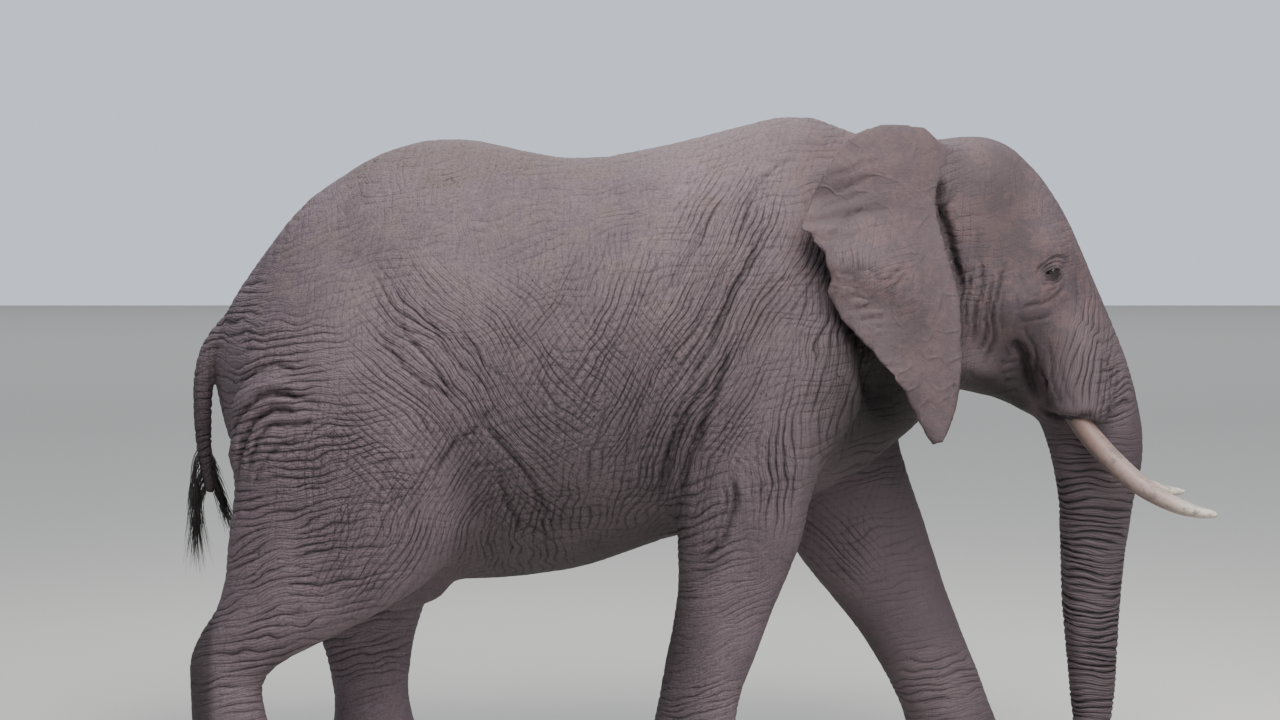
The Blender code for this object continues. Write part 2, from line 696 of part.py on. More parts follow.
def part_head(flesh, finish):
    """Neck, head, lower jaw and three lengths of trunk, from the tip of the trunk upwards."""
    pieces = {}
    lengths = (("trunk_lower", 0.62), ("trunk_middle", 1.10), ("trunk_upper", 1.52))
    for name, top in lengths:
        pieces[name] = blocked_off(
            flesh, name, (0.70, 0.60, 2.0), (1.86, 0.0, top - 1.0), math.radians(4), finish
        )
    pieces["head"] = blocked_off(
        flesh, "head", (1.4, 1.2, 1.8), (1.68, 0.0, 2.32), math.radians(-4), finish
    )
    pieces["neck"] = blocked_off(
        flesh, "neck", (1.0, 1.4, 2.2), (1.225, 0.0, 2.30), math.radians(-15), finish
    )
    jaw = (0.62, 0.7, 0.30)
    pieces["lower_jaw"] = blocked_off(
        pieces["head"], "lower_jaw", jaw, (1.30, 0.0, 1.73), math.radians(9), finish
    )
    return pieces


def centre_over_origin():
    """Slides the whole model until the middle of its box is over the origin."""
    corners = [Vector(c) for obj in bpy.data.objects for c in obj.bound_box]
    low = Vector(min(c[axis] for c in corners) for axis in range(3))
    high = Vector(max(c[axis] for c in corners) for axis in range(3))
    slide = Matrix.Translation((-(low.x + high.x) / 2, -(low.y + high.y) / 2, 0.0))
    for obj in bpy.data.objects:
        obj.data.transform(slide)


def main():
    for obj in list(bpy.data.objects):
        bpy.data.objects.remove(obj)
    skin = material("skin", SKIN, 0.8)
    ivory = material("ivory", IVORY, 0.35)
    horn = material("horn", HORN, 0.5)
    eye = material("eye", EYE, 0.1)
    hair = material("hair", HAIR, 0.6)

    flesh = fused_flesh()
    flesh.data.materials.clear()
    flesh.data.materials.append(skin)

    for name, side in (("right", RIGHT), ("left", LEFT)):
        tusk(f"tusk_{name}", side, 0.0, ivory)
        let_in(flesh, tusk("seat", side, TUSK_GAP))
        eyeball(f"eye_{name}", side, EYE_RADIUS, eye)
        let_in(flesh, eyeball("seat", side, EYE_RADIUS + GAP))
        cut_clear(ear(f"ear_{name}", side, skin), flesh)

    tail = tube("tail", tail_sections(), 10, steps=2, finish=skin)
    cut_clear(tail, flesh)
    tuft = tube("tail_tuft", tuft_sections(), 8, steps=2, finish=hair)
    cut_clear(tuft, tail)

    part_head(flesh, skin)
    pieces = part_legs(flesh, skin)
    for name, side, inside, angles in (
        ("front_right", RIGHT, (-0.01, -0.335, NAIL_HEIGHT), FRONT_NAILS),
        ("front_left", LEFT, (1.25, 0.328, NAIL_HEIGHT), FRONT_NAILS),
        ("hind_right", RIGHT, (-1.96, -0.330, NAIL_HEIGHT), HIND_NAILS),
        ("hind_left", LEFT, (-1.46, 0.318, NAIL_HEIGHT), HIND_NAILS),
    ):
        nails_on(pieces[f"foot_{name}"], name, Vector(inside), angles, side, horn)
    centre_over_origin()


main()
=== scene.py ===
import math
import random
from contextlib import contextmanager

import bmesh
import bpy
import numpy as np
from mathutils import Matrix, Vector
from mathutils.kdtree import KDTree


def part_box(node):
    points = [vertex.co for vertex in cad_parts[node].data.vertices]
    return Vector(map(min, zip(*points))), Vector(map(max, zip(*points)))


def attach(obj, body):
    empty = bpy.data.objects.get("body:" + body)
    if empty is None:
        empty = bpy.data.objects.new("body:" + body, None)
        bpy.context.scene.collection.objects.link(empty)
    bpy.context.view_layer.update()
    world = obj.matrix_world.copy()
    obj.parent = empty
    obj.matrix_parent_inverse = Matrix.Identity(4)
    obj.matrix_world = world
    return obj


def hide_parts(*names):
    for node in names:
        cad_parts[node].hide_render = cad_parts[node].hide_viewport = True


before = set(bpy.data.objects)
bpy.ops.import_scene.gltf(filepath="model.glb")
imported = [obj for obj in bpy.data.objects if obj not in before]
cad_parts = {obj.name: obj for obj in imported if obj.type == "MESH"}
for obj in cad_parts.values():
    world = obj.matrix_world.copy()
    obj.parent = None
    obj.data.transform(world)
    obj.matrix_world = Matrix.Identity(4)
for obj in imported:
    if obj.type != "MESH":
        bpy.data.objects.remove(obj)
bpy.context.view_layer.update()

# An African bush elephant bull, walking with its trunk hanging. One skin covers the flesh. The
# eyes, tusks, nails and the hair are pieces of their own. Metres, +X ahead, +Y to its left.

RIGHT, LEFT = -1, 1
SIDES = ((RIGHT, "right"), (LEFT, "left"))

FLESH = ["torso", "neck", "head", "lower_jaw", "trunk_upper", "trunk_middle", "trunk_lower"]
FLESH += [
    f"{part}_{side}"
    for part in ("forearm_front", "foot_front", "thigh_hind", "shank_hind", "foot_hind")
    for side in ("left", "right")
]
ROUGH_VOXEL = 0.018  # the first skin, before it is smoothed
FINE_VOXEL = 0.0085  # the skin that carries the folds
SKIN_TRIANGLES = 196000

SOLE_HEIGHT = 0.0005  # of the soles over the floor
EAR_THICKNESS = 0.015
PATCH_SIZE = 0.003  # of each bristle in the bake map
# The ear hangs between its root along the head and its free edge, both from top to bottom.
EAR_ROOT = [
    (1.096, 0.290, 2.900),
    (1.063, 0.320, 2.790),
    (1.026, 0.345, 2.660),
    (1.028, 0.370, 2.520),
    (1.065, 0.397, 2.390),
    (1.105, 0.420, 2.230),
    (1.118, 0.448, 2.055),
    (1.112, 0.475, 1.880),
    (1.094, 0.500, 1.750),
    (1.062, 0.518, 1.645),
    (1.028, 0.528, 1.572),
]
EAR_EDGE = [
    (0.780, 0.400, 2.943),
    (0.644, 0.455, 2.883),
    (0.538, 0.500, 2.736),
    (0.454, 0.525, 2.564),
    (0.432, 0.530, 2.505),
    (0.486, 0.545, 2.445),
    (0.544, 0.560, 2.330),
    (0.562, 0.570, 2.190),
    (0.639, 0.572, 2.060),
    (0.717, 0.570, 1.990),
    (0.804, 0.562, 1.887),
    (0.879, 0.552, 1.783),
    (0.934, 0.542, 1.680),
    (0.975, 0.534, 1.600),
    (1.008, 0.530, 1.556),
]
EAR_BASE = [  # x, y and z of the middle of the flesh behind the ear's root, and its radius
    (1.110, 0.150, 2.870, 0.030),
    (1.105, 0.185, 2.835, 0.070),
    (1.085, 0.215, 2.780, 0.092),
    (1.065, 0.245, 2.720, 0.088),
    (1.050, 0.275, 2.650, 0.066),
    (1.045, 0.300, 2.590, 0.040),
    (1.045, 0.315, 2.550, 0.015),
]


# ---------------------------------------------------------------- meshes


def curve_through(rows, count):
    """Rows of numbers read at `count` even steps of a Catmull-Rom curve through them."""
    rows = np.asarray(rows, float)
    rows = np.vstack([2 * rows[0] - rows[1], rows, 2 * rows[-1] - rows[-2]])
    at = np.linspace(0, len(rows) - 3, count)
    first = np.minimum(at.astype(int), len(rows) - 4)
    t = (at - first)[:, None]
    p0, p1, p2, p3 = (rows[first + i] for i in range(4))
    return 0.5 * (
        2 * p1 + (p2 - p0) * t + (2 * p0 - 5 * p1 + 4 * p2 - p3) * t**2
        + (3 * p1 - p0 - 3 * p2 + p3) * t**3
    )


def object_of(name, bm):
    """A new object that has this bmesh as its mesh."""
    mesh = bpy.data.meshes.new(name)
    bm.to_mesh(mesh)
    bm.free()
    made = bpy.data.objects.new(name, mesh)
    bpy.context.scene.collection.objects.link(made)
    return made


def welded(name, nodes):
    """One mesh of copies of these CAD nodes, with their loose triangles merged."""
    bm = bmesh.new()
    for node in nodes:
        bm.from_mesh(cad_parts[node].data)
    bmesh.ops.remove_doubles(bm, verts=bm.verts, dist=1e-5)
    made = object_of(name, bm)
    made.data.materials.clear()
    return made


def applied(obj):
    """Applies the object's modifiers."""
    graph = bpy.context.evaluated_depsgraph_get()
    mesh = bpy.data.meshes.new_from_object(obj.evaluated_get(graph))
    obj.modifiers.clear()
    old, obj.data = obj.data, mesh
    bpy.data.meshes.remove(old)
    return obj


def modified(obj, kind, **settings):
    """The object with one modifier applied to it."""
    modifier = obj.modifiers.new(kind.title(), kind)
    for name, value in settings.items():
        setattr(modifier, name, value)
    return applied(obj)


def joined(name, objects):
    """One object in place of these."""
    bm = bmesh.new()
    for obj in objects:
        bm.from_mesh(obj.data)
        bpy.data.objects.remove(obj)
    return object_of(name, bm)


@contextmanager
def edited(obj):
    """The object's mesh as a bmesh, written back afterwards."""
    bm = bmesh.new()
    bm.from_mesh(obj.data)
    yield bm
    bm.to_mesh(obj.data)
    bm.free()


def read(data, name, wide=3, kind=float):
    """One row of numbers for each point or edge."""
    values = np.empty(len(data) * wide, kind)
    data.foreach_get(name, values)
    return values.reshape(-1, wide)


def points_of(obj):
    return read(obj.data.vertices, "co")


def normals_of(obj):
    return read(obj.data.vertices, "normal")


def edges_of(obj):
    return read(obj.data.edges, "vertices", 2, np.int32)


def place_points(obj, points):
    obj.data.vertices.foreach_set("co", points.ravel())
    obj.data.update()


def relaxed(values, edges, rounds, share=0.5):
    """Rows of numbers on the vertices, each drawn `rounds` times to the mean of its neighbours."""
    count = len(values)
    ends = np.concatenate([edges[:, 0], edges[:, 1]])
    others = np.concatenate([edges[:, 1], edges[:, 0]])
    number = np.maximum(np.bincount(ends, minlength=count), 1)
    share = np.broadcast_to(share, (count,))
    values = values.copy()
    for _ in range(rounds):
        for axis in range(values.shape[1]):
            mean = np.bincount(ends, values[others, axis], count) / number
            values[:, axis] += share * (mean - values[:, axis])
    return values


def smoothed(obj, rounds, share=0.5):
    """Smooths the surface and puts back what that took off its broad shapes."""
    points, edges = points_of(obj), edges_of(obj)
    soft = relaxed(points, edges, rounds, share)
    place_points(obj, soft + relaxed(points - soft, edges, rounds, share))


def relax_near(obj, middle, reach, rounds):
    """Smooths the mesh inside an oval and its mirror image, and fades out at its edge."""
    points, edges = points_of(obj), edges_of(obj)
    away = (points - middle) / reach
    away[:, 1] = (np.abs(points[:, 1]) - middle[1]) / reach[1]
    away = (away**2).sum(axis=1)
    near = np.flatnonzero(away < 2.2)
    number = np.full(len(points), -1)
    number[near] = np.arange(len(near))
    edges = number[edges]
    edges = edges[(edges >= 0).all(axis=1)]
    share = np.where(away[near] < 2, 0.8 * np.exp(-(away[near] ** 2)), 0.0)
    points[near] = relaxed(points[near], edges, rounds, share)
    place_points(obj, points)


def step(value, low, high):
    """0 below low, 1 above high, and a smooth rise between."""
    t = np.clip((value - low) / (high - low), 0, 1)
    return t * t * (3 - 2 * t)


def keep_largest_body(obj):
    """Drops every loose body but the largest."""
    with edited(obj) as bm:
        bodies, seen = [], set()
        for start in bm.verts:
            if start in seen:
                continue
            body, todo = [], [start]
            seen.add(start)
            while todo:
                vert = todo.pop()
                body.append(vert)
                fresh = {e.other_vert(vert) for e in vert.link_edges} - seen
                seen |= fresh
                todo += fresh
            bodies.append(body)
        bodies.sort(key=len, reverse=True)
        bmesh.ops.delete(bm, geom=[v for body in bodies[1:] for v in body], context="VERTS")


# ---------------------------------------------------------------- nodes as expressions


def operator(operation, turned=False):
    """The method that adds a Math node of that operation. Turned, the other value comes first."""

    def apply(self, *others):
        values = (*others, self) if turned else (self, *others)
        return self.net.math(operation, *values)

    return apply


class Value:
    """A socket that takes part in sums."""

    def __init__(self, net, socket):
        self.net, self.socket = net, socket

    __add__ = __radd__ = operator("ADD")
    __mul__ = __rmul__ = operator("MULTIPLY")
    __sub__, __rsub__ = operator("SUBTRACT"), operator("SUBTRACT", turned=True)
    __truediv__, __rtruediv__ = operator("DIVIDE"), operator("DIVIDE", turned=True)
    __pow__, __rpow__ = operator("POWER"), operator("POWER", turned=True)
    __abs__ = operator("ABSOLUTE")


class Net:
    """A node tree, of a material or of geometry nodes, written as expressions."""

    def __init__(self, tree):
        self.tree = tree

    def node(self, kind, settings=(), inputs=(), output=0):
        made = self.tree.nodes.new(kind)
        for name, value in dict(settings).items():
            setattr(made, name, value)
        for key, value in dict(inputs).items():
            self.feed(made.inputs[key], value)
        return Value(self, made.outputs[output]) if made.outputs else made

    def feed(self, socket, value):
        if isinstance(value, Value):
            self.tree.links.new(value.socket, socket)
        else:
            socket.default_value = value

    def math(self, operation, *values):
        return self.node("ShaderNodeMath", {"operation": operation}, enumerate(values))

    def vector(self, operation, *values):
        return self.node("ShaderNodeVectorMath", {"operation": operation}, enumerate(values))

    def scaled(self, vector, amount):
        inputs = {0: vector, "Scale": amount}
        return self.node("ShaderNodeVectorMath", {"operation": "SCALE"}, inputs)

    def place(self):
        return self.node("ShaderNodeTexCoord", {}, {}, "Object")

    def attribute(self, name, output="Fac"):
        return self.node("ShaderNodeAttribute", {"attribute_name": name}, {}, output)

    def noise(self, place, scale=1.0, detail=2.0, rough=0.5, output=0):
        inputs = {"Vector": place, "Scale": scale, "Detail": detail, "Roughness": rough}
        return self.node("ShaderNodeTexNoise", {}, inputs, output)

    def rise(self, value, low, high):
        """0 below low, 1 above high, and a smooth rise between."""
        inputs = {"Value": value, "From Min": low, "From Max": high}
        settings = {"interpolation_type": "SMOOTHSTEP"}
        return self.node("ShaderNodeMapRange", settings, inputs)

    def band(self, value, start, full, last, end):
        """1 from full to last, and smoothly down to 0 at start and end."""
        return self.rise(value, start, full) * self.rise(value, end, last)

    def mix(self, share, first, second):
        """A colour between two."""
        settings = {"data_type": "RGBA", "clamp_factor": True}
        inputs = {0: share, 6: first, 7: second}
        return self.node("ShaderNodeMix", settings, inputs, 2)

    def layered(self, colour, *layers):
        """A colour with others laid on it in turn, each with its share."""
        for share, other in layers:
            colour = self.mix(share, colour, other)
        return colour

    def dress(self, shader, colour, roughness, height=None):
        """Feeds what varies over a piece to its shader. The height, in metres, becomes bump."""
        self.feed(shader.inputs["Base Color"], colour)
        self.feed(shader.inputs["Roughness"], roughness)
        if height is not None:
            inputs = {"Height": height, "Distance": 1.0, "Strength": 1.0}
            self.feed(shader.inputs["Normal"], self.node("ShaderNodeBump", {}, inputs))

    def parts(self, vector):
        made = self.tree.nodes.new("ShaderNodeSeparateXYZ")
        self.feed(made.inputs[0], vector)
        return [Value(self, socket) for socket in made.outputs]


# ---------------------------------------------------------------- wrinkles

# Soft ovals, seen from the side, where each family of wrinkles runs: the oval's middle, its
# reach along x and z, and how deep the wrinkles are there.
WRINKLED = {
    "level": [
        (-1.72, 1.50, 0.50, 0.34, 1.0),
        (-1.74, 1.06, 0.42, 0.32, 0.9),
        (-1.78, 1.92, 0.34, 0.22, 0.7),
        (-2.02, 2.12, 0.18, 0.26, 0.75),
        (0.00, 1.18, 0.18, 0.30, 0.75),
        (0.08, 0.82, 0.28, 0.28, 0.45),
        (0.02, 0.36, 0.32, 0.24, 0.6),
        (1.14, 0.38, 0.32, 0.24, 0.6),
        (0.85, 0.95, 0.30, 0.34, 0.35),
        (-1.96, 0.60, 0.32, 0.30, 0.8),
        (-1.50, 0.55, 0.32, 0.32, 0.6),
        (1.85, 1.74, 0.10, 0.30, 0.8),
        (-2.22, 1.80, 0.10, 0.45, 0.7),
        (0.70, 1.45, 0.30, 0.20, 0.5),
        (1.62, 2.44, 0.10, 0.16, 0.25),
    ],
    "steep": [
        (1.20, 2.10, 0.16, 0.34, 0.30),
        (-1.60, 1.40, 0.46, 0.46, 0.36),
        (0.58, 1.98, 0.22, 0.46, 0.85),
        (-0.42, 1.42, 0.30, 0.36, 0.45),
        (-0.80, 1.14, 0.28, 0.24, 0.55),
        (1.58, 1.92, 0.13, 0.24, 0.20),
        (1.45, 2.62, 0.22, 0.20, 0.20),
        (1.73, 1.90, 0.12, 0.34, 0.65),
        (0.33, 1.46, 0.13, 0.30, 0.75),
        (0.70, 2.55, 0.30, 0.24, 0.3),
    ],
    "slash": [
        (0.14, 2.28, 0.28, 0.52, 0.9),
        (-0.16, 1.75, 0.30, 0.50, 0.8),
        (-0.48, 2.02, 0.38, 0.40, 0.6),
        (-1.16, 1.34, 0.30, 0.34, 0.75),
        (-1.45, 1.10, 0.26, 0.28, 0.6),
        (0.46, 2.34, 0.16, 0.18, 0.7),
        (0.10, 1.72, 0.20, 0.20, 0.5),
    ],
    "backslash": [
        (-0.78, 1.88, 0.40, 0.38, 0.6),
        (-1.22, 1.98, 0.28, 0.36, 0.85),
        (-1.45, 1.52, 0.36, 0.30, 0.45),
        (-0.72, 1.42, 0.24, 0.30, 0.5),
        (0.60, 1.02, 0.22, 0.24, 0.6),
        (-0.20, 1.95, 0.26, 0.30, 0.35),
    ],
    "ring": [
        (1.66, 0.60, 0.40, 0.96, 1.0),
    ],
}
FAMILIES = [
    # the family, how far its lines turn from level, their spacing, how long they run in
    # spacings, and how many spacings they wander
    ("level", 12.0, 0.036, 5.0, 2.4),
    ("steep", 84.0, 0.033, 8.0, 1.9),
    ("slash", 60.0, 0.028, 11.0, 1.8),
    ("backslash", -48.0, 0.032, 8.0, 1.9),
    ("ring", -2.0, 0.029, 8.0, 1.9),
]
WRINKLE_DEPTH = 0.0125
FINER = 2.3  # how many times closer the fine wrinkles lie, which only the material has
FINE_STRENGTH = 1.35


def oval_shares(x, z, ovals):
    """How deep the wrinkles are at each place, where ovals meet no deeper than 1."""
    left = np.ones(len(x))
    for at_x, at_z, reach_x, reach_z, depth in ovals:
        away = ((x - at_x) / reach_x) ** 2 + ((z - at_z) / reach_z) ** 2
        left *= 1 - depth * np.exp(-(away**1.5))
    return 1 - left


def family_shares(points):
    """How deep each family's wrinkles are at each point, and which points are on the ears."""
    x, _, z = points.T
    shares = {name: oval_shares(x, z, ovals) for name, ovals in WRINKLED.items()}
    trunk = step(x, 1.38, 1.50) * (1 - step(z, 1.50, 1.70))
    shares["ring"] *= trunk
    for name in ("level", "steep", "slash", "backslash"):
        shares[name] *= 1 - trunk
    shares["ring"] *= 1.5
    body = (1 - trunk) * (1 - 0.6 * step(x, 1.15, 1.40)) * (0.50 + 0.50 * step(z, 0.8, 1.4))
    shares["level"] = np.maximum(shares["level"], 0.26 * body)
    shares["steep"] = np.maximum(shares["steep"], 0.20 * body)
    ears = ear_share(points)
    for name in shares:
        shares[name] *= 1 - 0.9 * ears
    shares["ear"] = ears
    return shares


def store(obj, name, values):
    """Numbers, or rows of three, kept on the mesh's points for the nodes to read."""
    kind = "FLOAT" if values.ndim == 1 else "FLOAT_VECTOR"
    old = obj.data.attributes.get(name)
    if old:
        obj.data.attributes.remove(old)
    made = obj.data.attributes.new(name, kind, "POINT")
    key = "value" if values.ndim == 1 else "vector"
    made.data.foreach_set(key, values.astype(np.float32).ravel())


def store_shares(obj):
    """Keeps on the mesh where its wrinkles and placed creases lie."""
    points = points_of(obj)
    shares = family_shares(points)
    store(obj, "creased", crease_shares(obj))
    store(obj, "lines_a", np.stack([shares[n] for n in ("level", "steep", "slash")], axis=1))
    others = np.stack([shares[n] for n in ("backslash", "ring", "ear")], axis=1)
    store(obj, "lines_b", others)


def ear_share(points):
    """1 on the blades of the ears, 0 on the rest of the skin."""
    x, y, z = points.T
    tree = KDTree(len(EAR_MIDDLE))
    for number, at in enumerate(EAR_MIDDLE):
        tree.insert(at, number)
    tree.balance()
    share = np.zeros(len(points))
    near = np.flatnonzero((x > 0.35) & (x < 1.2) & (z > 1.5) & (np.abs(y) > 0.26))
    for number in near:
        px, py, pz = points[number]
        share[number] = tree.find((px, abs(py), pz))[2]
    share[near] = 1 - step(share[near], 0.020, 0.055)
    return share


def swayed(net, place):
    """A place moved about a little, so that the lines drawn there wander."""
    shifts = []
    for scale, reach in ((2.1, 0.16), (9.0, 0.022)):
        cloud = net.noise(place, scale, 0.0, output="Color")
        shifts.append(net.scaled(net.vector("SUBTRACT", cloud, (0.5, 0.5, 0.5)), reach))
    return net.vector("ADD", place, net.vector("ADD", *shifts))


def family(net, place, turn, spacing, length, wander, seed, finer, sharp):
    """0 in the creases of a family of lines, and 1 on top of the plump skin between them."""
    inputs = {"Vector": place, "Angle": math.radians(turn)}
    turned = net.node("ShaderNodeVectorRotate", {"rotation_type": "Y_AXIS"}, inputs)
    along = 1 / (spacing * length)
    # lines near upright wander as fast over the body's breadth as they do across
    sideways = along if abs(turn) < 80 else 0.4 / spacing
    scaled = net.vector("MULTIPLY", turned, (along, sideways, 0.4 / spacing))
    moved = net.vector("ADD", scaled, (seed * 3.7, seed * 5.1, seed * 1.9))
    detail = 1.0 if finer == 1 else 0.0
    count = net.parts(turned)[2] / spacing + net.noise(moved, 1.0, detail, 0.4) * wander
    away = abs(net.math("SINE", count * math.pi))
    plump = away * (1 + sharp) / (away + sharp)
    if finer > 1:
        return 0.3 + plump * 0.7
    faint = net.rise(net.noise(moved, 0.9, 0.0), 0.62, 0.40)
    return 1 - (1 - plump) * (0.40 + faint * 0.60)


def wrinkles(net, place, lines_a, lines_b, finer=1.0, sharp=0.40):
    """1 on smooth skin, and towards 0 in the creases of every family."""
    shares = dict(zip(WRINKLED, net.parts(lines_a) + net.parts(lines_b)))
    height = None
    for seed, (name, turn, spacing, length, wander) in enumerate(FAMILIES, 1):
        seed *= finer
        spacing /= finer
        skin_between = family(net, place, turn, spacing, length, wander, seed, finer, sharp)
        share = shares[name] if finer == 1 else shares[name] * FINE_STRENGTH
        kept = 1 - share * (1 - skin_between)
        height = kept if height is None else height * kept
    return height


def press_wrinkles(obj):
    """Sinks the creases of every family into the mesh itself."""
    tree = bpy.data.node_groups.new("press_wrinkles", "GeometryNodeTree")
    tree.interface.new_socket("Geometry", in_out="INPUT", socket_type="NodeSocketGeometry")
    tree.interface.new_socket("Geometry", in_out="OUTPUT", socket_type="NodeSocketGeometry")
    net = Net(tree)
    into = net.node("NodeGroupInput")
    place = net.node("GeometryNodeInputPosition")
    lines = [
        net.node("GeometryNodeInputNamedAttribute", {"data_type": "FLOAT_VECTOR"}, {"Name": name})
        for name in ("lines_a", "lines_b")
    ]
    height = wrinkles(net, swayed(net, place), *lines) - 1.0
    out = net.scaled(net.node("GeometryNodeInputNormal"), height * WRINKLE_DEPTH)
    moved = net.node("GeometryNodeSetPosition", {}, {"Geometry": into, "Offset": out})
    net.node("NodeGroupOutput", {}, {"Geometry": moved})
    modified(obj, "NODES", node_group=tree)
    bpy.data.node_groups.remove(tree)


# ---------------------------------------------------------------- folds and creases

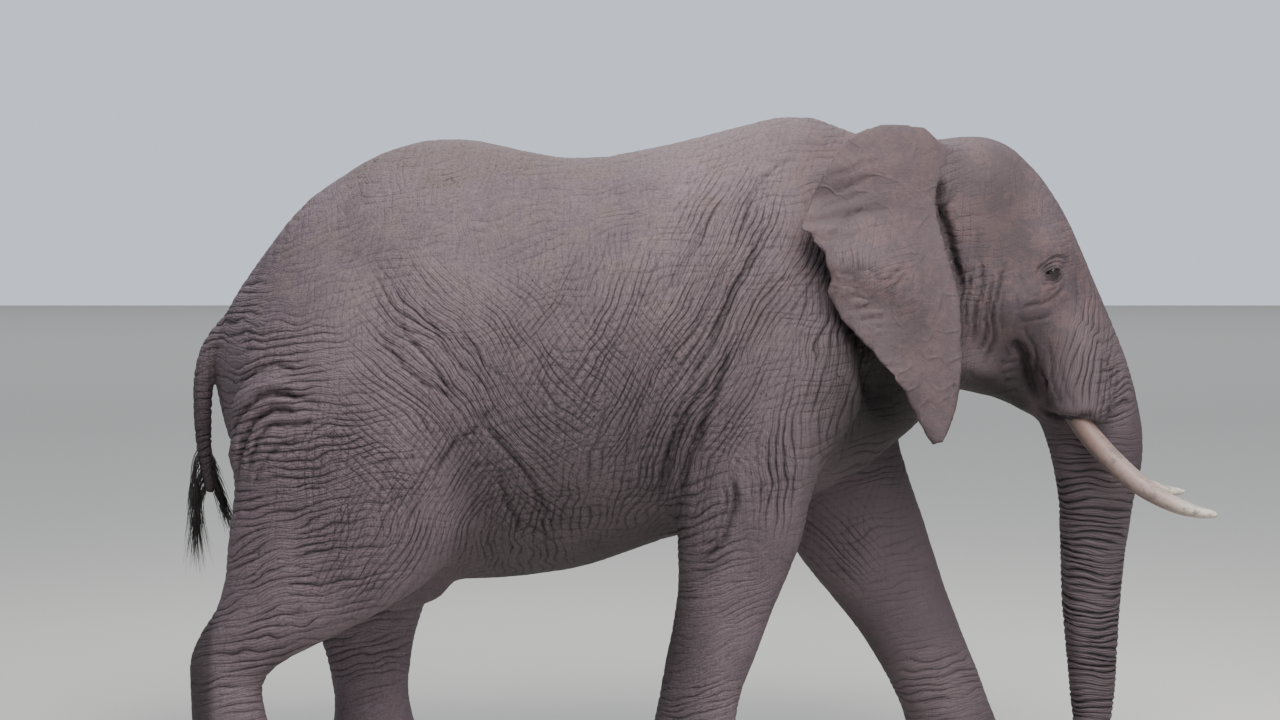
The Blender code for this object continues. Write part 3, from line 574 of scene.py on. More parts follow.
# Creases that can be told apart, as seen from the side: half width, depth, how much the skin
# rolls up on their upper side, and the points they run through. Both sides of the body have them.
CREASES = [
    # behind the shoulder, from the withers down to the belly
    (0.013, 0.022, 0.5, [(0.26, 2.51), (0.22, 2.37), (0.13, 2.20), (0.07, 2.05), (0.00, 1.91),
        (-0.09, 1.71), (-0.14, 1.51), (-0.16, 1.38)]),
    (0.015, 0.032, 0.7, [(0.13, 2.00), (0.09, 1.86), (0.03, 1.71), (-0.03, 1.55), (-0.08, 1.40),
        (-0.11, 1.26)]),
    (0.016, 0.034, 0.7, [(0.10, 1.95), (-0.01, 1.78), (-0.07, 1.66), (-0.11, 1.55), (-0.16, 1.40),
        (-0.20, 1.26)]),
    (0.009, 0.011, 0.3, [(0.06, 2.13), (-0.06, 1.94), (-0.16, 1.77), (-0.23, 1.61), (-0.30, 1.38)]),
    (0.008, 0.009, 0.3, [(-0.06, 2.08), (-0.17, 1.92), (-0.27, 1.73), (-0.33, 1.56)]),
    (0.008, 0.010, 0.3, [(0.45, 2.82), (0.33, 2.75), (0.25, 2.67), (0.19, 2.54), (0.15, 2.41)]),
    (0.008, 0.009, 0.3, [(0.09, 2.62), (0.03, 2.51), (-0.04, 2.40), (-0.11, 2.28), (-0.17, 2.17)]),
    (0.008, 0.010, 0.3, [(0.18, 2.44), (0.10, 2.31), (0.03, 2.17), (-0.04, 2.05), (-0.12, 1.90),
        (-0.17, 1.71)]),
    # from the hip down into the flank, and the flank fold
    (0.008, 0.009, 0.4, [(-1.23, 2.19), (-1.16, 2.07), (-1.07, 1.94), (-0.98, 1.85), (-0.90, 1.80)]),
    (0.009, 0.011, 0.4, [(-1.34, 2.15), (-1.25, 2.01), (-1.15, 1.89), (-1.09, 1.82), (-1.02, 1.76)]),
    (0.009, 0.011, 0.4, [(-1.38, 2.02), (-1.30, 1.92), (-1.20, 1.83), (-1.11, 1.79), (-1.03, 1.75)]),
    (0.008, 0.008, 0.3, [(-1.08, 2.15), (-1.02, 2.01), (-0.94, 1.92), (-0.84, 1.84), (-0.76, 1.73),
        (-0.66, 1.63)]),
    (0.012, 0.013, 0.8, [(-0.97, 1.70), (-0.90, 1.61), (-0.82, 1.52), (-0.74, 1.41), (-0.67, 1.27),
        (-0.62, 1.15)]),
    (0.011, 0.011, 0.5, [(-0.88, 1.48), (-0.86, 1.36), (-0.82, 1.26), (-0.79, 1.12)]),
    (0.010, 0.010, 0.5, [(-0.81, 1.51), (-0.74, 1.39), (-0.70, 1.27), (-0.68, 1.14)]),
    (0.010, 0.012, 0.4, [(-1.20, 1.37), (-1.14, 1.48), (-1.07, 1.56), (-0.99, 1.61), (-0.90, 1.72),
        (-0.82, 1.76)]),
    (0.010, 0.009, 0.5, [(-1.02, 1.45), (-0.96, 1.47), (-0.90, 1.48)]),
    # rolls of loose skin between the tail and the thigh
    (0.014, 0.028, 1.1, [(-2.02, 1.36), (-2.00, 1.52), (-1.94, 1.65), (-1.84, 1.71), (-1.70, 1.70)]),
    (0.014, 0.024, 1.1, [(-2.04, 1.55), (-2.00, 1.68), (-1.92, 1.76), (-1.80, 1.78), (-1.66, 1.75)]),
    (0.011, 0.018, 1.0, [(-1.97, 1.40), (-1.94, 1.54), (-1.87, 1.63), (-1.75, 1.655), (-1.62, 1.65)]),
    (0.011, 0.013, 0.8, [(-2.03, 1.78), (-1.96, 1.86), (-1.85, 1.90), (-1.72, 1.88)]),
    (0.010, 0.012, 0.8, [(-1.95, 1.34), (-1.90, 1.47), (-1.81, 1.56), (-1.68, 1.59)]),
    # the flap of skin at the elbow
    (0.014, 0.026, 1.0, [(0.13, 1.46), (0.145, 1.35), (0.135, 1.25), (0.10, 1.16), (0.05, 1.09),
        (-0.02, 1.04)]),
    (0.010, 0.016, 0.7, [(0.10, 1.42), (0.11, 1.32), (0.095, 1.23), (0.055, 1.15), (0.00, 1.10)]),
    # in front of the ear and down the cheek
    (0.009, 0.014, 0.4, [(1.14, 2.34), (1.145, 2.20), (1.142, 2.11), (1.138, 2.02), (1.13, 1.92)]),
    (0.008, 0.013, 0.4, [(1.18, 2.32), (1.174, 2.22), (1.167, 2.13), (1.167, 2.02)]),
    (0.009, 0.016, 0.4, [(1.233, 2.38), (1.237, 2.30), (1.225, 2.22), (1.21, 2.14), (1.20, 2.06),
        (1.20, 1.96)]),
    (0.009, 0.015, 0.4, [(1.284, 2.32), (1.263, 2.22), (1.256, 2.14), (1.256, 2.06), (1.249, 1.99),
        (1.23, 1.92)]),
    (0.009, 0.016, 0.4, [(1.35, 2.37), (1.32, 2.29), (1.29, 2.20), (1.283, 2.11), (1.292, 2.02),
        (1.28, 1.93), (1.268, 1.87)]),
    (0.007, 0.008, 0.3, [(1.325, 2.24), (1.318, 2.16), (1.325, 2.08), (1.335, 2.02)]),
    (0.007, 0.008, 0.3, [(1.215, 2.50), (1.212, 2.43), (1.20, 2.36)]),
    # folds across the blade of the ear
    (0.009, 0.009, 0.6, [(0.685, 2.181), (0.779, 2.255), (0.833, 2.299), (0.883, 2.351)]),
    (0.008, 0.008, 0.6, [(0.777, 2.175), (0.819, 2.223), (0.860, 2.274), (0.896, 2.318)]),
    (0.012, 0.007, 0.8, [(0.518, 2.696), (0.607, 2.731), (0.714, 2.770), (0.793, 2.777)]),
    (0.012, 0.007, 0.8, [(0.489, 2.601), (0.592, 2.646), (0.697, 2.696), (0.776, 2.718)]),
    (0.012, 0.007, 0.8, [(0.471, 2.531), (0.538, 2.582), (0.630, 2.621), (0.747, 2.646)]),
    (0.012, 0.007, 0.8, [(0.539, 2.416), (0.587, 2.492), (0.654, 2.550), (0.732, 2.582)]),
    # under the eye, to the corner of the mouth
    (0.010, 0.008, 0.9, [(1.395, 2.125), (1.425, 2.152), (1.48, 2.167), (1.545, 2.184), (1.595, 2.215),
        (1.620, 2.262)]),
    (0.008, 0.006, 0.7, [(1.385, 2.115), (1.43, 2.088), (1.475, 2.096), (1.53, 2.118), (1.56, 2.14)]),
    (0.007, 0.005, 0.6, [(1.44, 2.20), (1.49, 2.196), (1.54, 2.214), (1.58, 2.245)]),
    (0.007, 0.005, 0.5, [(1.40, 2.30), (1.42, 2.24), (1.45, 2.19)]),
    (0.007, 0.005, 0.5, [(1.37, 2.22), (1.385, 2.16), (1.39, 2.12)]),
    (0.008, 0.010, 0.4, [(1.425, 2.08), (1.448, 2.024), (1.48, 1.97), (1.495, 1.89), (1.50, 1.80)]),
    (0.018, 0.036, 0.5, [(1.362, 1.965), (1.398, 1.978), (1.432, 1.950), (1.452, 1.895), (1.476, 1.839),
        (1.498, 1.766), (1.525, 1.695)]),
    (0.014, 0.022, 0.9, [(1.510, 1.730), (1.530, 1.689), (1.565, 1.662), (1.600, 1.652), (1.640, 1.652),
        (1.672, 1.661), (1.705, 1.675), (1.738, 1.666)]),
    (0.007, 0.007, 0.6, [(1.34, 1.99), (1.365, 1.95), (1.37, 1.91), (1.355, 1.87)]),
    (0.007, 0.008, 0.6, [(1.33, 1.91), (1.37, 1.895), (1.41, 1.90), (1.435, 1.915)]),
    (0.007, 0.008, 0.6, [(1.32, 1.87), (1.36, 1.85), (1.40, 1.855), (1.44, 1.87)]),
    (0.007, 0.007, 0.6, [(1.35, 1.82), (1.39, 1.81), (1.43, 1.825)]),
    # down the sheath of the tusk and the side of the face
    (0.006, 0.006, 0.2, [(1.533, 2.04), (1.54, 1.94), (1.552, 1.85), (1.573, 1.76), (1.605, 1.69)]),
    (0.006, 0.005, 0.2, [(1.583, 1.96), (1.592, 1.85), (1.617, 1.76), (1.645, 1.69)]),
    (0.007, 0.006, 0.2, [(1.648, 2.296), (1.674, 2.216), (1.690, 2.136), (1.696, 2.07)]),
    (0.008, 0.010, 0.4, [(1.804, 1.941), (1.822, 1.861), (1.829, 1.782), (1.804, 1.707), (1.827, 1.63)]),
    (0.008, 0.010, 0.4, [(1.858, 1.911), (1.866, 1.840), (1.858, 1.769), (1.850, 1.699)]),
    (0.008, 0.008, 0.4, [(1.775, 1.90), (1.78, 1.82), (1.775, 1.75), (1.785, 1.68)]),
    # under the jaw
    (0.010, 0.006, 0.4, [(1.16, 1.87), (1.215, 1.830), (1.28, 1.815), (1.34, 1.822)]),
    (0.008, 0.006, 0.4, [(1.30, 1.79), (1.35, 1.765), (1.41, 1.76), (1.45, 1.775)]),
]
HOLLOWS = [
    # the deep fold along the front edge of the ear
    (0.024, 0.050, 0.0, [(1.062, 2.73), (1.056, 2.66), (1.060, 2.58), (1.078, 2.48), (1.104, 2.38),
        (1.128, 2.28), (1.142, 2.16)]),
    # between neck and shoulder, behind the ear
    (0.100, 0.085, 0.0, [(0.66, 2.36), (0.70, 2.16), (0.74, 1.98), (0.79, 1.80), (0.86, 1.62)]),
]
ELBOW = (0.02, 1.32)


def elbow_creases():
    """Fine creases that run round the upper arm above the elbow."""
    for number in range(7):
        radius = 0.215 + 0.030 * number
        turns = np.radians(np.linspace(-35 + 4 * number, 120 - 2 * number, 9))
        line = [
            (ELBOW[0] + radius * math.cos(turn), ELBOW[1] + 1.05 * radius * math.sin(turn))
            for turn in turns
        ]
        yield 0.006, 0.0055 - 0.0003 * number, 0.2, line


def crease_shift(points, normals, side, crease):
    """How far one crease moves each point out, as numbers of points and their shifts."""
    width, depth, roll, line = crease
    line = curve_through(line, max(12, 14 * len(line)))
    low, high = line.min(0) - 5 * width, line.max(0) + 5 * width
    x, y, z = points.T
    inside = (x > low[0]) & (x < high[0]) & (z > low[1]) & (z < high[1])
    near = np.flatnonzero(inside & (side * y > 0.05) & (side * normals[:, 1] > 0.05))
    at = points[near][:, (0, 2)]
    # a slight wobble, so that no crease is an even curve
    at[:, 0] += 0.004 * np.sin(31 * at[:, 1] + 9 * at[:, 0]) + 0.002 * np.sin(97 * at[:, 1])
    at[:, 1] += 0.004 * np.sin(29 * at[:, 0] + 2) + 0.002 * np.sin(89 * at[:, 0])
    away = at[:, None, :] - line[None, :, :]
    closest = (away**2).sum(axis=2).argmin(axis=1)
    away = away[np.arange(len(at)), closest]
    ahead = np.gradient(line, axis=0)
    ahead /= np.linalg.norm(ahead, axis=1)[:, None]
    ahead = ahead[closest]
    across = ahead[:, 0] * away[:, 1] - ahead[:, 1] * away[:, 0]
    beyond = np.abs((ahead * away).sum(axis=1))
    share = closest / (len(line) - 1)
    taper = step(share, 0, 0.22) * step(1 - share, 0, 0.22) * np.exp(-((beyond / 0.02) ** 2))
    groove = -1 / (1 + (np.abs(across) / width) ** 2.2) ** 2
    lip = roll * np.exp(-(((across - 2.6 * width) / (1.7 * width)) ** 2))
    lip += 0.35 * roll * np.exp(-(((across + 2.6 * width) / (1.5 * width)) ** 2))
    return near, depth * taper * (groove + 0.5 * lip)


def sink_creases(obj):
    """Sinks the placed creases into the skin. Where two meet, the deeper one counts."""
    points, normals = points_of(obj), normals_of(obj)
    body = 1 - ear_share(points)
    for hollow in HOLLOWS:
        for side, _ in SIDES:
            near, shift = crease_shift(points, normals, side, hollow)
            points[near] += normals[near] * (shift * body[near])[:, None]
    sunk, raised = np.zeros(len(points)), np.zeros(len(points))
    for crease in CREASES + list(elbow_creases()):
        for side, _ in SIDES:
            near, shift = crease_shift(points, normals, side, crease)
            sunk[near] = np.minimum(sunk[near], shift)
            raised[near] = np.maximum(raised[near], shift)
    place_points(obj, points + normals * (sunk + raised)[:, None])


def crease_shares(obj):
    """1 at the bottom of the deeper placed creases, 0 away from them."""
    points, normals = points_of(obj), normals_of(obj)
    shares = np.zeros(len(points))
    for crease in HOLLOWS[:1] + CREASES + list(elbow_creases()):
        for side, _ in SIDES:
            near, shift = crease_shift(points, normals, side, crease)
            shares[near] = np.maximum(shares[near], np.clip(-shift / 0.016, 0, 1))
    return shares * (1 - ear_share(points))


# ---------------------------------------------------------------- lids

EYE_RADIUS = 0.026
LID_THICKNESS = 0.0045
SLIT_REACH = 0.039  # half the slit between the lids, from corner to corner
SLIT_SLOPE = 0.36
LID_FOLDS = [  # half length of the fold, its height over or under the eye, half width and depth
    (0.047, 0.0240, 0.0026, 0.0042),
    (0.060, 0.0420, 0.0034, 0.0050),
    (0.078, 0.0660, 0.0050, 0.0085),
    (0.092, 0.0860, 0.0040, 0.0030),
    (0.046, -0.0230, 0.0026, 0.0040),
    (0.056, -0.0370, 0.0034, 0.0050),
    (0.068, -0.0600, 0.0044, 0.0050),
    (0.078, -0.0780, 0.0044, 0.0032),
]


def eye_frame(side):
    """The middle of the eyeball, and the axes ahead, up and out of the face there."""
    name = "eye_left" if side == LEFT else "eye_right"
    low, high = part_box(name)
    out = Vector((0.30, side * 0.93, 0.12)).normalized()
    up = (Vector((0.16, 0, 1)) - Vector((0.16, 0, 1)).dot(out) * out).normalized()
    ahead = up.cross(out) * side
    return (low + high) / 2, ahead.normalized(), up, out


def refine_round_eyes(obj):
    """Smaller faces round the eyes, for the lids."""
    middles = [eye_frame(side)[0] for side, _ in SIDES]
    with edited(obj) as bm:
        for reach in (0.085, 0.060):
            edges = [
                e for e in bm.edges
                if min(sum((v.co - m).length for v in e.verts) for m in middles) < 2 * reach
            ]
            bmesh.ops.subdivide_edges(bm, edges=edges, cuts=1, use_grid_fill=True)
        bmesh.ops.triangulate(bm, faces=[f for f in bm.faces if len(f.verts) > 4])


def shape_lids(obj):
    """Draws the skin over the eyeball, opens the slit between the lids and folds them."""
    points = points_of(obj)
    for side, _ in SIDES:
        middle, ahead, up, out = (np.array(v) for v in eye_frame(side))
        away = points - middle
        near = np.flatnonzero((away**2).sum(axis=1) < 0.14**2)
        away = away[near]
        a, b, c = away @ ahead, away @ up, away @ out
        b = b + SLIT_SLOPE * a  # the slit drops towards the trunk
        across = np.hypot(0.8 * a, b)
        ball = EYE_RADIUS + LID_THICKNESS
        over = np.sqrt(np.maximum(ball**2 - (0.78 * a) ** 2 - b**2, 0))
        target = np.maximum(over, c - 0.002)
        share = 1 - step(across, 0.024, 0.050)
        hollow = 0.010 * np.exp(-((np.hypot(a / 0.080, (b - 0.018) / 0.062)) ** 4))
        lifted = c - hollow + (target - c + hollow) * share
        arch = np.maximum(1 - (a / SLIT_REACH) ** 2, 0)
        upper, lower = 0.0130 * arch**0.7, -0.0115 * arch**0.7
        for reach, height, wide, deep in LID_FOLDS:
            line = (np.hypot(a / reach, b / height) - 1) * abs(height)
            share = step(b / height, -0.05, 0.40)
            lifted -= deep * share * np.exp(-((line / wide) ** 2))
            lifted += 0.55 * deep * share * np.exp(-(((line - 2.3 * wide) / (1.7 * wide)) ** 2))
        inside = np.minimum(upper - b, b - lower)
        open_share = step(inside, -0.0002, 0.0022) * (np.abs(a) < SLIT_REACH) * (c > 0)
        behind = np.sqrt(np.maximum(EYE_RADIUS**2 - a**2 - b**2, 0)) - 0.014
        behind = np.maximum(behind, 0.004)
        lifted += (np.minimum(behind, lifted) - lifted) * open_share
        points[near] += (lifted - c)[:, None] * out
    place_points(obj, points)


# ---------------------------------------------------------------- the skin's base


def ear_blade(side):
    """A thin hanging blade with soft waves and a ragged free edge."""
    down, along = 130, 70
    root, edge = curve_through(EAR_ROOT, down), curve_through(EAR_EDGE, down)
    bm = bmesh.new()
    bmesh.ops.create_grid(bm, x_segments=down - 1, y_segments=along - 1, size=0.5)
    for vert in bm.verts:
        row = round((vert.co.x + 0.5) * (down - 1))
        across = (vert.co.y + 0.5) * 1.18 - 0.18
        drop = row / (down - 1)
        held = max(0.0, 1 - 1.15 * drop)
        ragged = 0.020 * math.sin(31 * drop + side) * math.sin(67 * drop)
        ragged += 0.008 * math.sin(113 * drop + 2 * side)
        ragged *= math.sin(math.pi * min(1.0, 1.5 * drop, 4 * (1 - drop)) / 2)
        if across >= 0:
            x, y, z = root[row] + (edge[row] - root[row]) * across * (1 + ragged)
        else:
            x, y, z = root[row] + np.array([0.10, 0.95, 0.0]) * across * held * 1.2
            across = 0.0
        # the blade bellies out
        arch = math.sin(math.pi * across)
        y += 0.040 * arch * math.sin(math.pi * min(1.0, 1.25 * drop))
        z += 0.016 * arch * max(0.0, 1 - 6 * drop)
        # waves that grow towards the free edge, and closer ones near its top
        wave = math.sin(17 * drop + 2.2 * across + 0.4 * side)
        y += 0.018 * across**2 * wave * min(1.0, 4 * drop)
        upper = math.exp(-(((drop - 0.23) / 0.13) ** 2))
        y += 0.013 * upper * across**1.3 * math.sin(74 * drop - 3 * across)
        y += 0.006 * across * math.sin(41 * drop + 3 * across)
        # one slanting fold halfway down
        fold = (drop - 0.50) / 0.05 + (across - 0.45) * 4.2
        y += 0.014 * math.exp(-(fold**2)) * arch
        vert.co = (x, side * y, z)
    made = object_of("ear_blade", bm)
    modified(made, "SOLIDIFY", thickness=EAR_THICKNESS, offset=0.0, use_even_offset=True)
    with edited(made) as bm:
        bmesh.ops.recalc_face_normals(bm, faces=bm.faces)
    return made


def rod(line, sides, aside=(0.13, 1, 0.07), patch=None):
    """A closed round rod through points that each have a radius, as a bmesh. A patch is where
    the rod lies in the bake map."""
    line = np.asarray(line, float)
    ahead = np.gradient(line[:, :3], axis=0)
    bm = bmesh.new()
    bmesh.ops.create_grid(bm, x_segments=len(line) - 1, y_segments=sides, size=0.5)
    if patch:
        uv = bm.loops.layers.uv.new("OFBake")
        for face in bm.faces:
            for loop in face.loops:
                at = loop.vert.co
                loop[uv].uv = (patch[0] + PATCH_SIZE * at.x, patch[1] + PATCH_SIZE * at.y)
    for vert in bm.verts:
        row = round((vert.co.x + 0.5) * (len(line) - 1))
        turn = math.tau * (round((vert.co.y + 0.5) * sides) % sides) / sides
        forward = Vector(ahead[row]).normalized()
        across = forward.cross(Vector(aside)).normalized()
        out = math.cos(turn) * across + math.sin(turn) * forward.cross(across)
        vert.co = Vector(line[row, :3]) + out * line[row, 3]
    bmesh.ops.remove_doubles(bm, verts=bm.verts, dist=1e-7)
    bmesh.ops.holes_fill(bm, edges=bm.edges, sides=0)
    bmesh.ops.recalc_face_normals(bm, faces=bm.faces)
    return bm


def rolled_edge(side):
    """The thick front edge of the ear, which stands in a fold before the cheek."""
    line = [(x + 0.006, side * y, z) for x, y, z in curve_through(EAR_ROOT, 40)]
    radii = [0.004 + 0.017 * float(step(n / 39, 0.10, 0.34)) - 0.008 * n / 39 for n in range(40)]
    rows = [(*at, radius) for at, radius in zip(line, radii)]
    return object_of("rolled_edge", rod(rows, 12))


def ear_base(side):
    """The flesh that carries the top of the ear's root out from the side of the head."""
    line = [(x, side * y, z, radius) for x, y, z, radius in curve_through(EAR_BASE, 24)]
    return object_of("ear_base", rod(line, 24))


def shape_trunk_tip(obj):
    """Two fingers at the end of the trunk, with the nostrils between them."""
    points, normals = points_of(obj), normals_of(obj)
    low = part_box("trunk_lower")[0]
    x, _, z = points.T
    near = np.flatnonzero((x > low[0] - 0.05) & (z < low[2] + 0.10) & (normals[:, 2] < 0.4))
    tip = points[near]
    end = tip[tip[:, 2] < low[2] + 0.04]
    middle, half = (end.max(axis=0) + end.min(axis=0)) / 2, np.ptp(end, axis=0) / 2
    u, v = ((tip - middle) / half)[:, 0], ((tip - middle) / half)[:, 1]
    down = step(-normals[near, 2], 0.1, 0.7)
    front = np.exp(-(((u - 0.72) / 0.36) ** 2) - (v / 0.45) ** 2)
    rear = np.exp(-(((u + 0.80) / 0.34) ** 2) - (v / 0.70) ** 2)
    nostril = np.exp(-(((u - 0.02) / 0.30) ** 2) - ((np.abs(v) - 0.40) / 0.24) ** 2)
    points[near, 2] += down * (0.034 * nostril - 0.017 * front - 0.012 * rear)
    points[near, 0] += 0.010 * front * down
    place_points(obj, points)


def base_skin():
    """The flesh as one smooth surface, with the ears and the tail grown on."""
    flesh = welded("skin", FLESH + ["eye_right", "eye_left"])
    modified(flesh, "REMESH", mode="VOXEL", voxel_size=ROUGH_VOXEL)
    keep_largest_body(flesh)
    x, _, z = points_of(flesh).T
    mouth = np.exp(-(((x - 1.40) / 0.16) ** 2 + ((z - 1.80) / 0.14) ** 2))
    sheath = np.exp(-(((x - 1.66) / 0.10) ** 2 + ((z - 1.66) / 0.10) ** 2))
    ground = 1 - step(z, 0.02, 0.16)
    share = 0.5 * (1 - 0.75 * np.clip(mouth + sheath, 0, 1)) * (1 - 0.8 * ground)
    smoothed(flesh, 24, share)
    pieces = [flesh, modified(welded("tail", ["tail"]), "SUBSURF", levels=2, render_levels=2)]
    for side, _ in SIDES:
        pieces += [ear_blade(side), rolled_edge(side), ear_base(side)]
    made = joined("skin", pieces)
    modified(made, "REMESH", mode="VOXEL", voxel_size=FINE_VOXEL)
    keep_largest_body(made)
    smoothed(made, 4)
    relax_near(made, (1.12, 0.26, 2.81), (0.13, 0.15, 0.14), 300)
    return made


# Points in the middle of the left ear's blade, for telling both ears from the rest of the skin.
EAR_MIDDLE = [
    tuple(root + (edge - root) * share)
    for root, edge in zip(curve_through(EAR_ROOT, 40), curve_through(EAR_EDGE, 40))
    for share in np.linspace(0.05, 1.0, 24)
]

skin = base_skin()
refine_round_eyes(skin)
shape_lids(skin)
sink_creases(skin)
shape_trunk_tip(skin)
store_shares(skin)
press_wrinkles(skin)
triangles = 2 * len(skin.data.polygons)
modified(skin, "DECIMATE", ratio=SKIN_TRIANGLES / triangles, use_collapse_triangulate=True)
place_points(skin, np.maximum(points_of(skin), (-9, -9, SOLE_HEIGHT)))
store_shares(skin)


# ---------------------------------------------------------------- tusks, nails and eyes

TUSK_LINE = [  # x, y and z of the middle of the tusk, and its radius
    (1.600, 0.222, 1.790, 0.044),
    (1.624, 0.232, 1.740, 0.047),
    (1.699, 0.262, 1.615, 0.048),
    (1.764, 0.288, 1.532, 0.049),
    (1.836, 0.316, 1.455, 0.048),
    (1.926, 0.348, 1.375, 0.045),
    (2.014, 0.376, 1.318, 0.040),
    (2.099, 0.398, 1.278, 0.034),
    (2.179, 0.413, 1.255, 0.026),
    (2.236, 0.420, 1.247, 0.0175),
    (2.254, 0.4215, 1.2462, 0.0105),
    (2.260, 0.422, 1.246, 0.002),
]
LEFT_TUSK_REACH = 0.03  # the left tusk is this much longer, and half as much higher at its tip


def tusk(side, name):
    """A tusk whose points know how far along it and how far on its underside they are."""
    line = curve_through(TUSK_LINE, 90)
    line[:, 1] *= side
    if side == LEFT:
        line[:, 0] += LEFT_TUSK_REACH * np.linspace(0, 1, len(line)) ** 2
        line[:, 2] += LEFT_TUSK_REACH / 2 * np.linspace(0, 1, len(line)) ** 2
    made = object_of(f"ivory_{name}", rod(line, 40))
    along = np.clip((points_of(made)[:, 0] - line[0, 0]) / np.ptp(line[:, 0]), 0, 1)
    store(made, "along", along)
    # the underside share, which the ivory darkens as painted shade
    store(made, "under", np.clip(0.35 - normals_of(made)[:, 2], 0, 1))
    return made


def nail(node, foot):
    """A blunt, domed plate in place of the nail of that name."""
    points = points_of(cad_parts[node])
    middle = Vector((points.min(axis=0) + points.max(axis=0)) / 2)
    low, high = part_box(foot)
    heading = middle - (low + high) / 2
    turn = math.atan2(heading.y, heading.x)
    bm = bmesh.new()
    bmesh.ops.create_uvsphere(bm, u_segments=36, v_segments=22, radius=1.0)
    for vert in bm.verts:
        x, y, z = (math.copysign(abs(c) ** 0.70, c) for c in vert.co)
        x *= (0.66 if x > 0 else 1.0) * (1 - 0.16 * y * y)
        x += 0.025 * math.sin(23 * y + 2 * z) * abs(x)
        vert.co = (0.0295 * x, 0.0480 * y * (1 - 0.12 * z), 0.0440 * z)
    turned = (
        Matrix.Translation(middle) @ Matrix.Rotation(turn, 4, "Z")
        @ Matrix.Rotation(math.radians(-12), 4, "Y")
    )
    bmesh.ops.transform(bm, matrix=turned, verts=bm.verts)
    for vert in bm.verts:
        vert.co.z = max(vert.co.z, float(low.z) + 0.0008)
    return object_of(f"horn_{node}", bm)


def eyeball(side, name):
    """An eyeball with a raised cornea, whose points know how far from the pupil they are."""
    middle, ahead, up, out = eye_frame(side)
    bm = bmesh.new()
    bmesh.ops.create_uvsphere(bm, u_segments=64, v_segments=48, radius=EYE_RADIUS - 0.0004)
    facing = Matrix([ahead, up, out]).transposed().to_4x4()
    for vert in bm.verts:
        cornea = math.exp(-((math.hypot(vert.co.x, vert.co.y) / 0.0125) ** 4))
        vert.co.z += 0.0022 * cornea if vert.co.z > 0 else 0.0
    bmesh.ops.transform(bm, matrix=Matrix.Translation(middle) @ facing, verts=bm.verts)
    made = object_of(f"eyeball_{name}", bm)
    away = points_of(made) - np.array(middle)
    front = away @ np.array(out)
    aside = np.hypot(away @ np.array(ahead), away @ np.array(up))
    store(made, "from_pupil", np.where(front > 0, aside, 1.0))
    return made


# ---------------------------------------------------------------- hair

BRISTLES = 460
LASHES = 44
UPPER_LASHES = 34


def grown(root, heading, fall, bend, length, steps):
    """The points of a bristle that leaves its root along its heading and turns to its fall."""
    line = [root]
    for _ in range(steps):
        heading = heading.lerp(fall, bend).normalized()
        line.append(line[-1] + heading * (length / steps))
    return line


def strands(name, bristles):
    """Tapered bristles as one mesh. Each has a small patch of the bake map to itself."""
    whole = bmesh.new()
    whole.loops.layers.uv.new("OFBake")
    for line, thick, patch in bristles:
        last = len(line) - 1
        rows = [(*at, thick * (1 - 0.85 * (row / last) ** 2)) for row, at in enumerate(line)]
        bm = rod(rows, 4, (0.3, 0.9, 0.31), patch)
        piece = bpy.data.meshes.new("strand")
        bm.to_mesh(piece)
        bm.free()
        whole.from_mesh(piece)
        bpy.data.meshes.remove(piece)
    return object_of(name, whole)


def tail_brush():
    """Stiff black bristles in a front and a rear row along the last part of the tail."""
    chance = random.Random(5)
    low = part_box("tail")[0].z
    middles = points_of(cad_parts["tail"])
    bristles = []
    for number in range(BRISTLES):
        rear = number % 2
        height = low + 0.004 + 0.20 * chance.random() ** 1.6
        here = middles[np.abs(middles[:, 2] - height) < 0.06]
        middle = (here.min(axis=0) + here.max(axis=0)) / 2
        radius = 0.8 * (here[:, 1].max() - here[:, 1].min()) / 2
        turn = (math.pi if rear else 0.0) + chance.gauss(0, 0.35)
        root = Vector((middle[0] + radius * math.cos(turn), radius * math.sin(turn), height))
        length = chance.uniform(0.26, 0.40) if rear else chance.uniform(0.12, 0.26)
        length -= 0.5 * (height - low)
        out = Vector((math.cos(turn), math.sin(turn), -0.9)).normalized()
        bend = Vector((chance.gauss(0.0, 0.10), chance.gauss(0.0, 0.10), -1.0))
        lean = Vector((0.05 if rear else 0.30, 0, 0))
        line = grown(root, out, (bend + lean).normalized(), 0.38, length, 9)
        patch = (0.5 + turn / 7.0, 0.1 + 0.8 * (height - low) / 0.21)
        bristles.append((line, chance.uniform(0.0011, 0.0017), patch))
    return strands("tail_bristles", bristles)


def lashes(side, name):
    """The long lashes of the upper lid, and a few on the lower lid."""
    chance = random.Random(11)
    middle, ahead, up, out = eye_frame(side)
    bristles = []
    for number in range(LASHES):
        upper = number < UPPER_LASHES
        a = chance.uniform(-0.026, 0.027)
        arch = max(1 - (a / SLIT_REACH) ** 2, 0) ** 0.7
        b = (0.0132 if upper else -0.0118) * arch - SLIT_SLOPE * a
        c = math.sqrt(max(0.0305**2 - a * a - b * b, 1e-6)) - 0.001
        root = middle + ahead * a + up * b + out * c
        length = chance.uniform(0.040, 0.058) if upper else chance.uniform(0.018, 0.028)
        sway = ahead * (0.35 + 9 * a + chance.gauss(0, 0.12))
        heading = (out * 0.9 + up * (-0.15 if upper else -0.5) + sway).normalized()
        fall = (up * (-1.0 if upper else -0.2) + out * 0.35 + sway).normalized()
        line = grown(root, heading, fall, 0.22, length, 6)
        bristles.append((line, 0.00065, (0.5 + 6 * a, 0.7 if upper else 0.3)))
    return strands(f"lashes_{name}", bristles)


# ---------------------------------------------------------------- materials


def material(name):
    """A new material, its nodes and its shader."""
    made = bpy.data.materials.new(name)
    made.use_nodes = True
    net = Net(made.node_tree)
    return made, net, made.node_tree.nodes["Principled BSDF"]


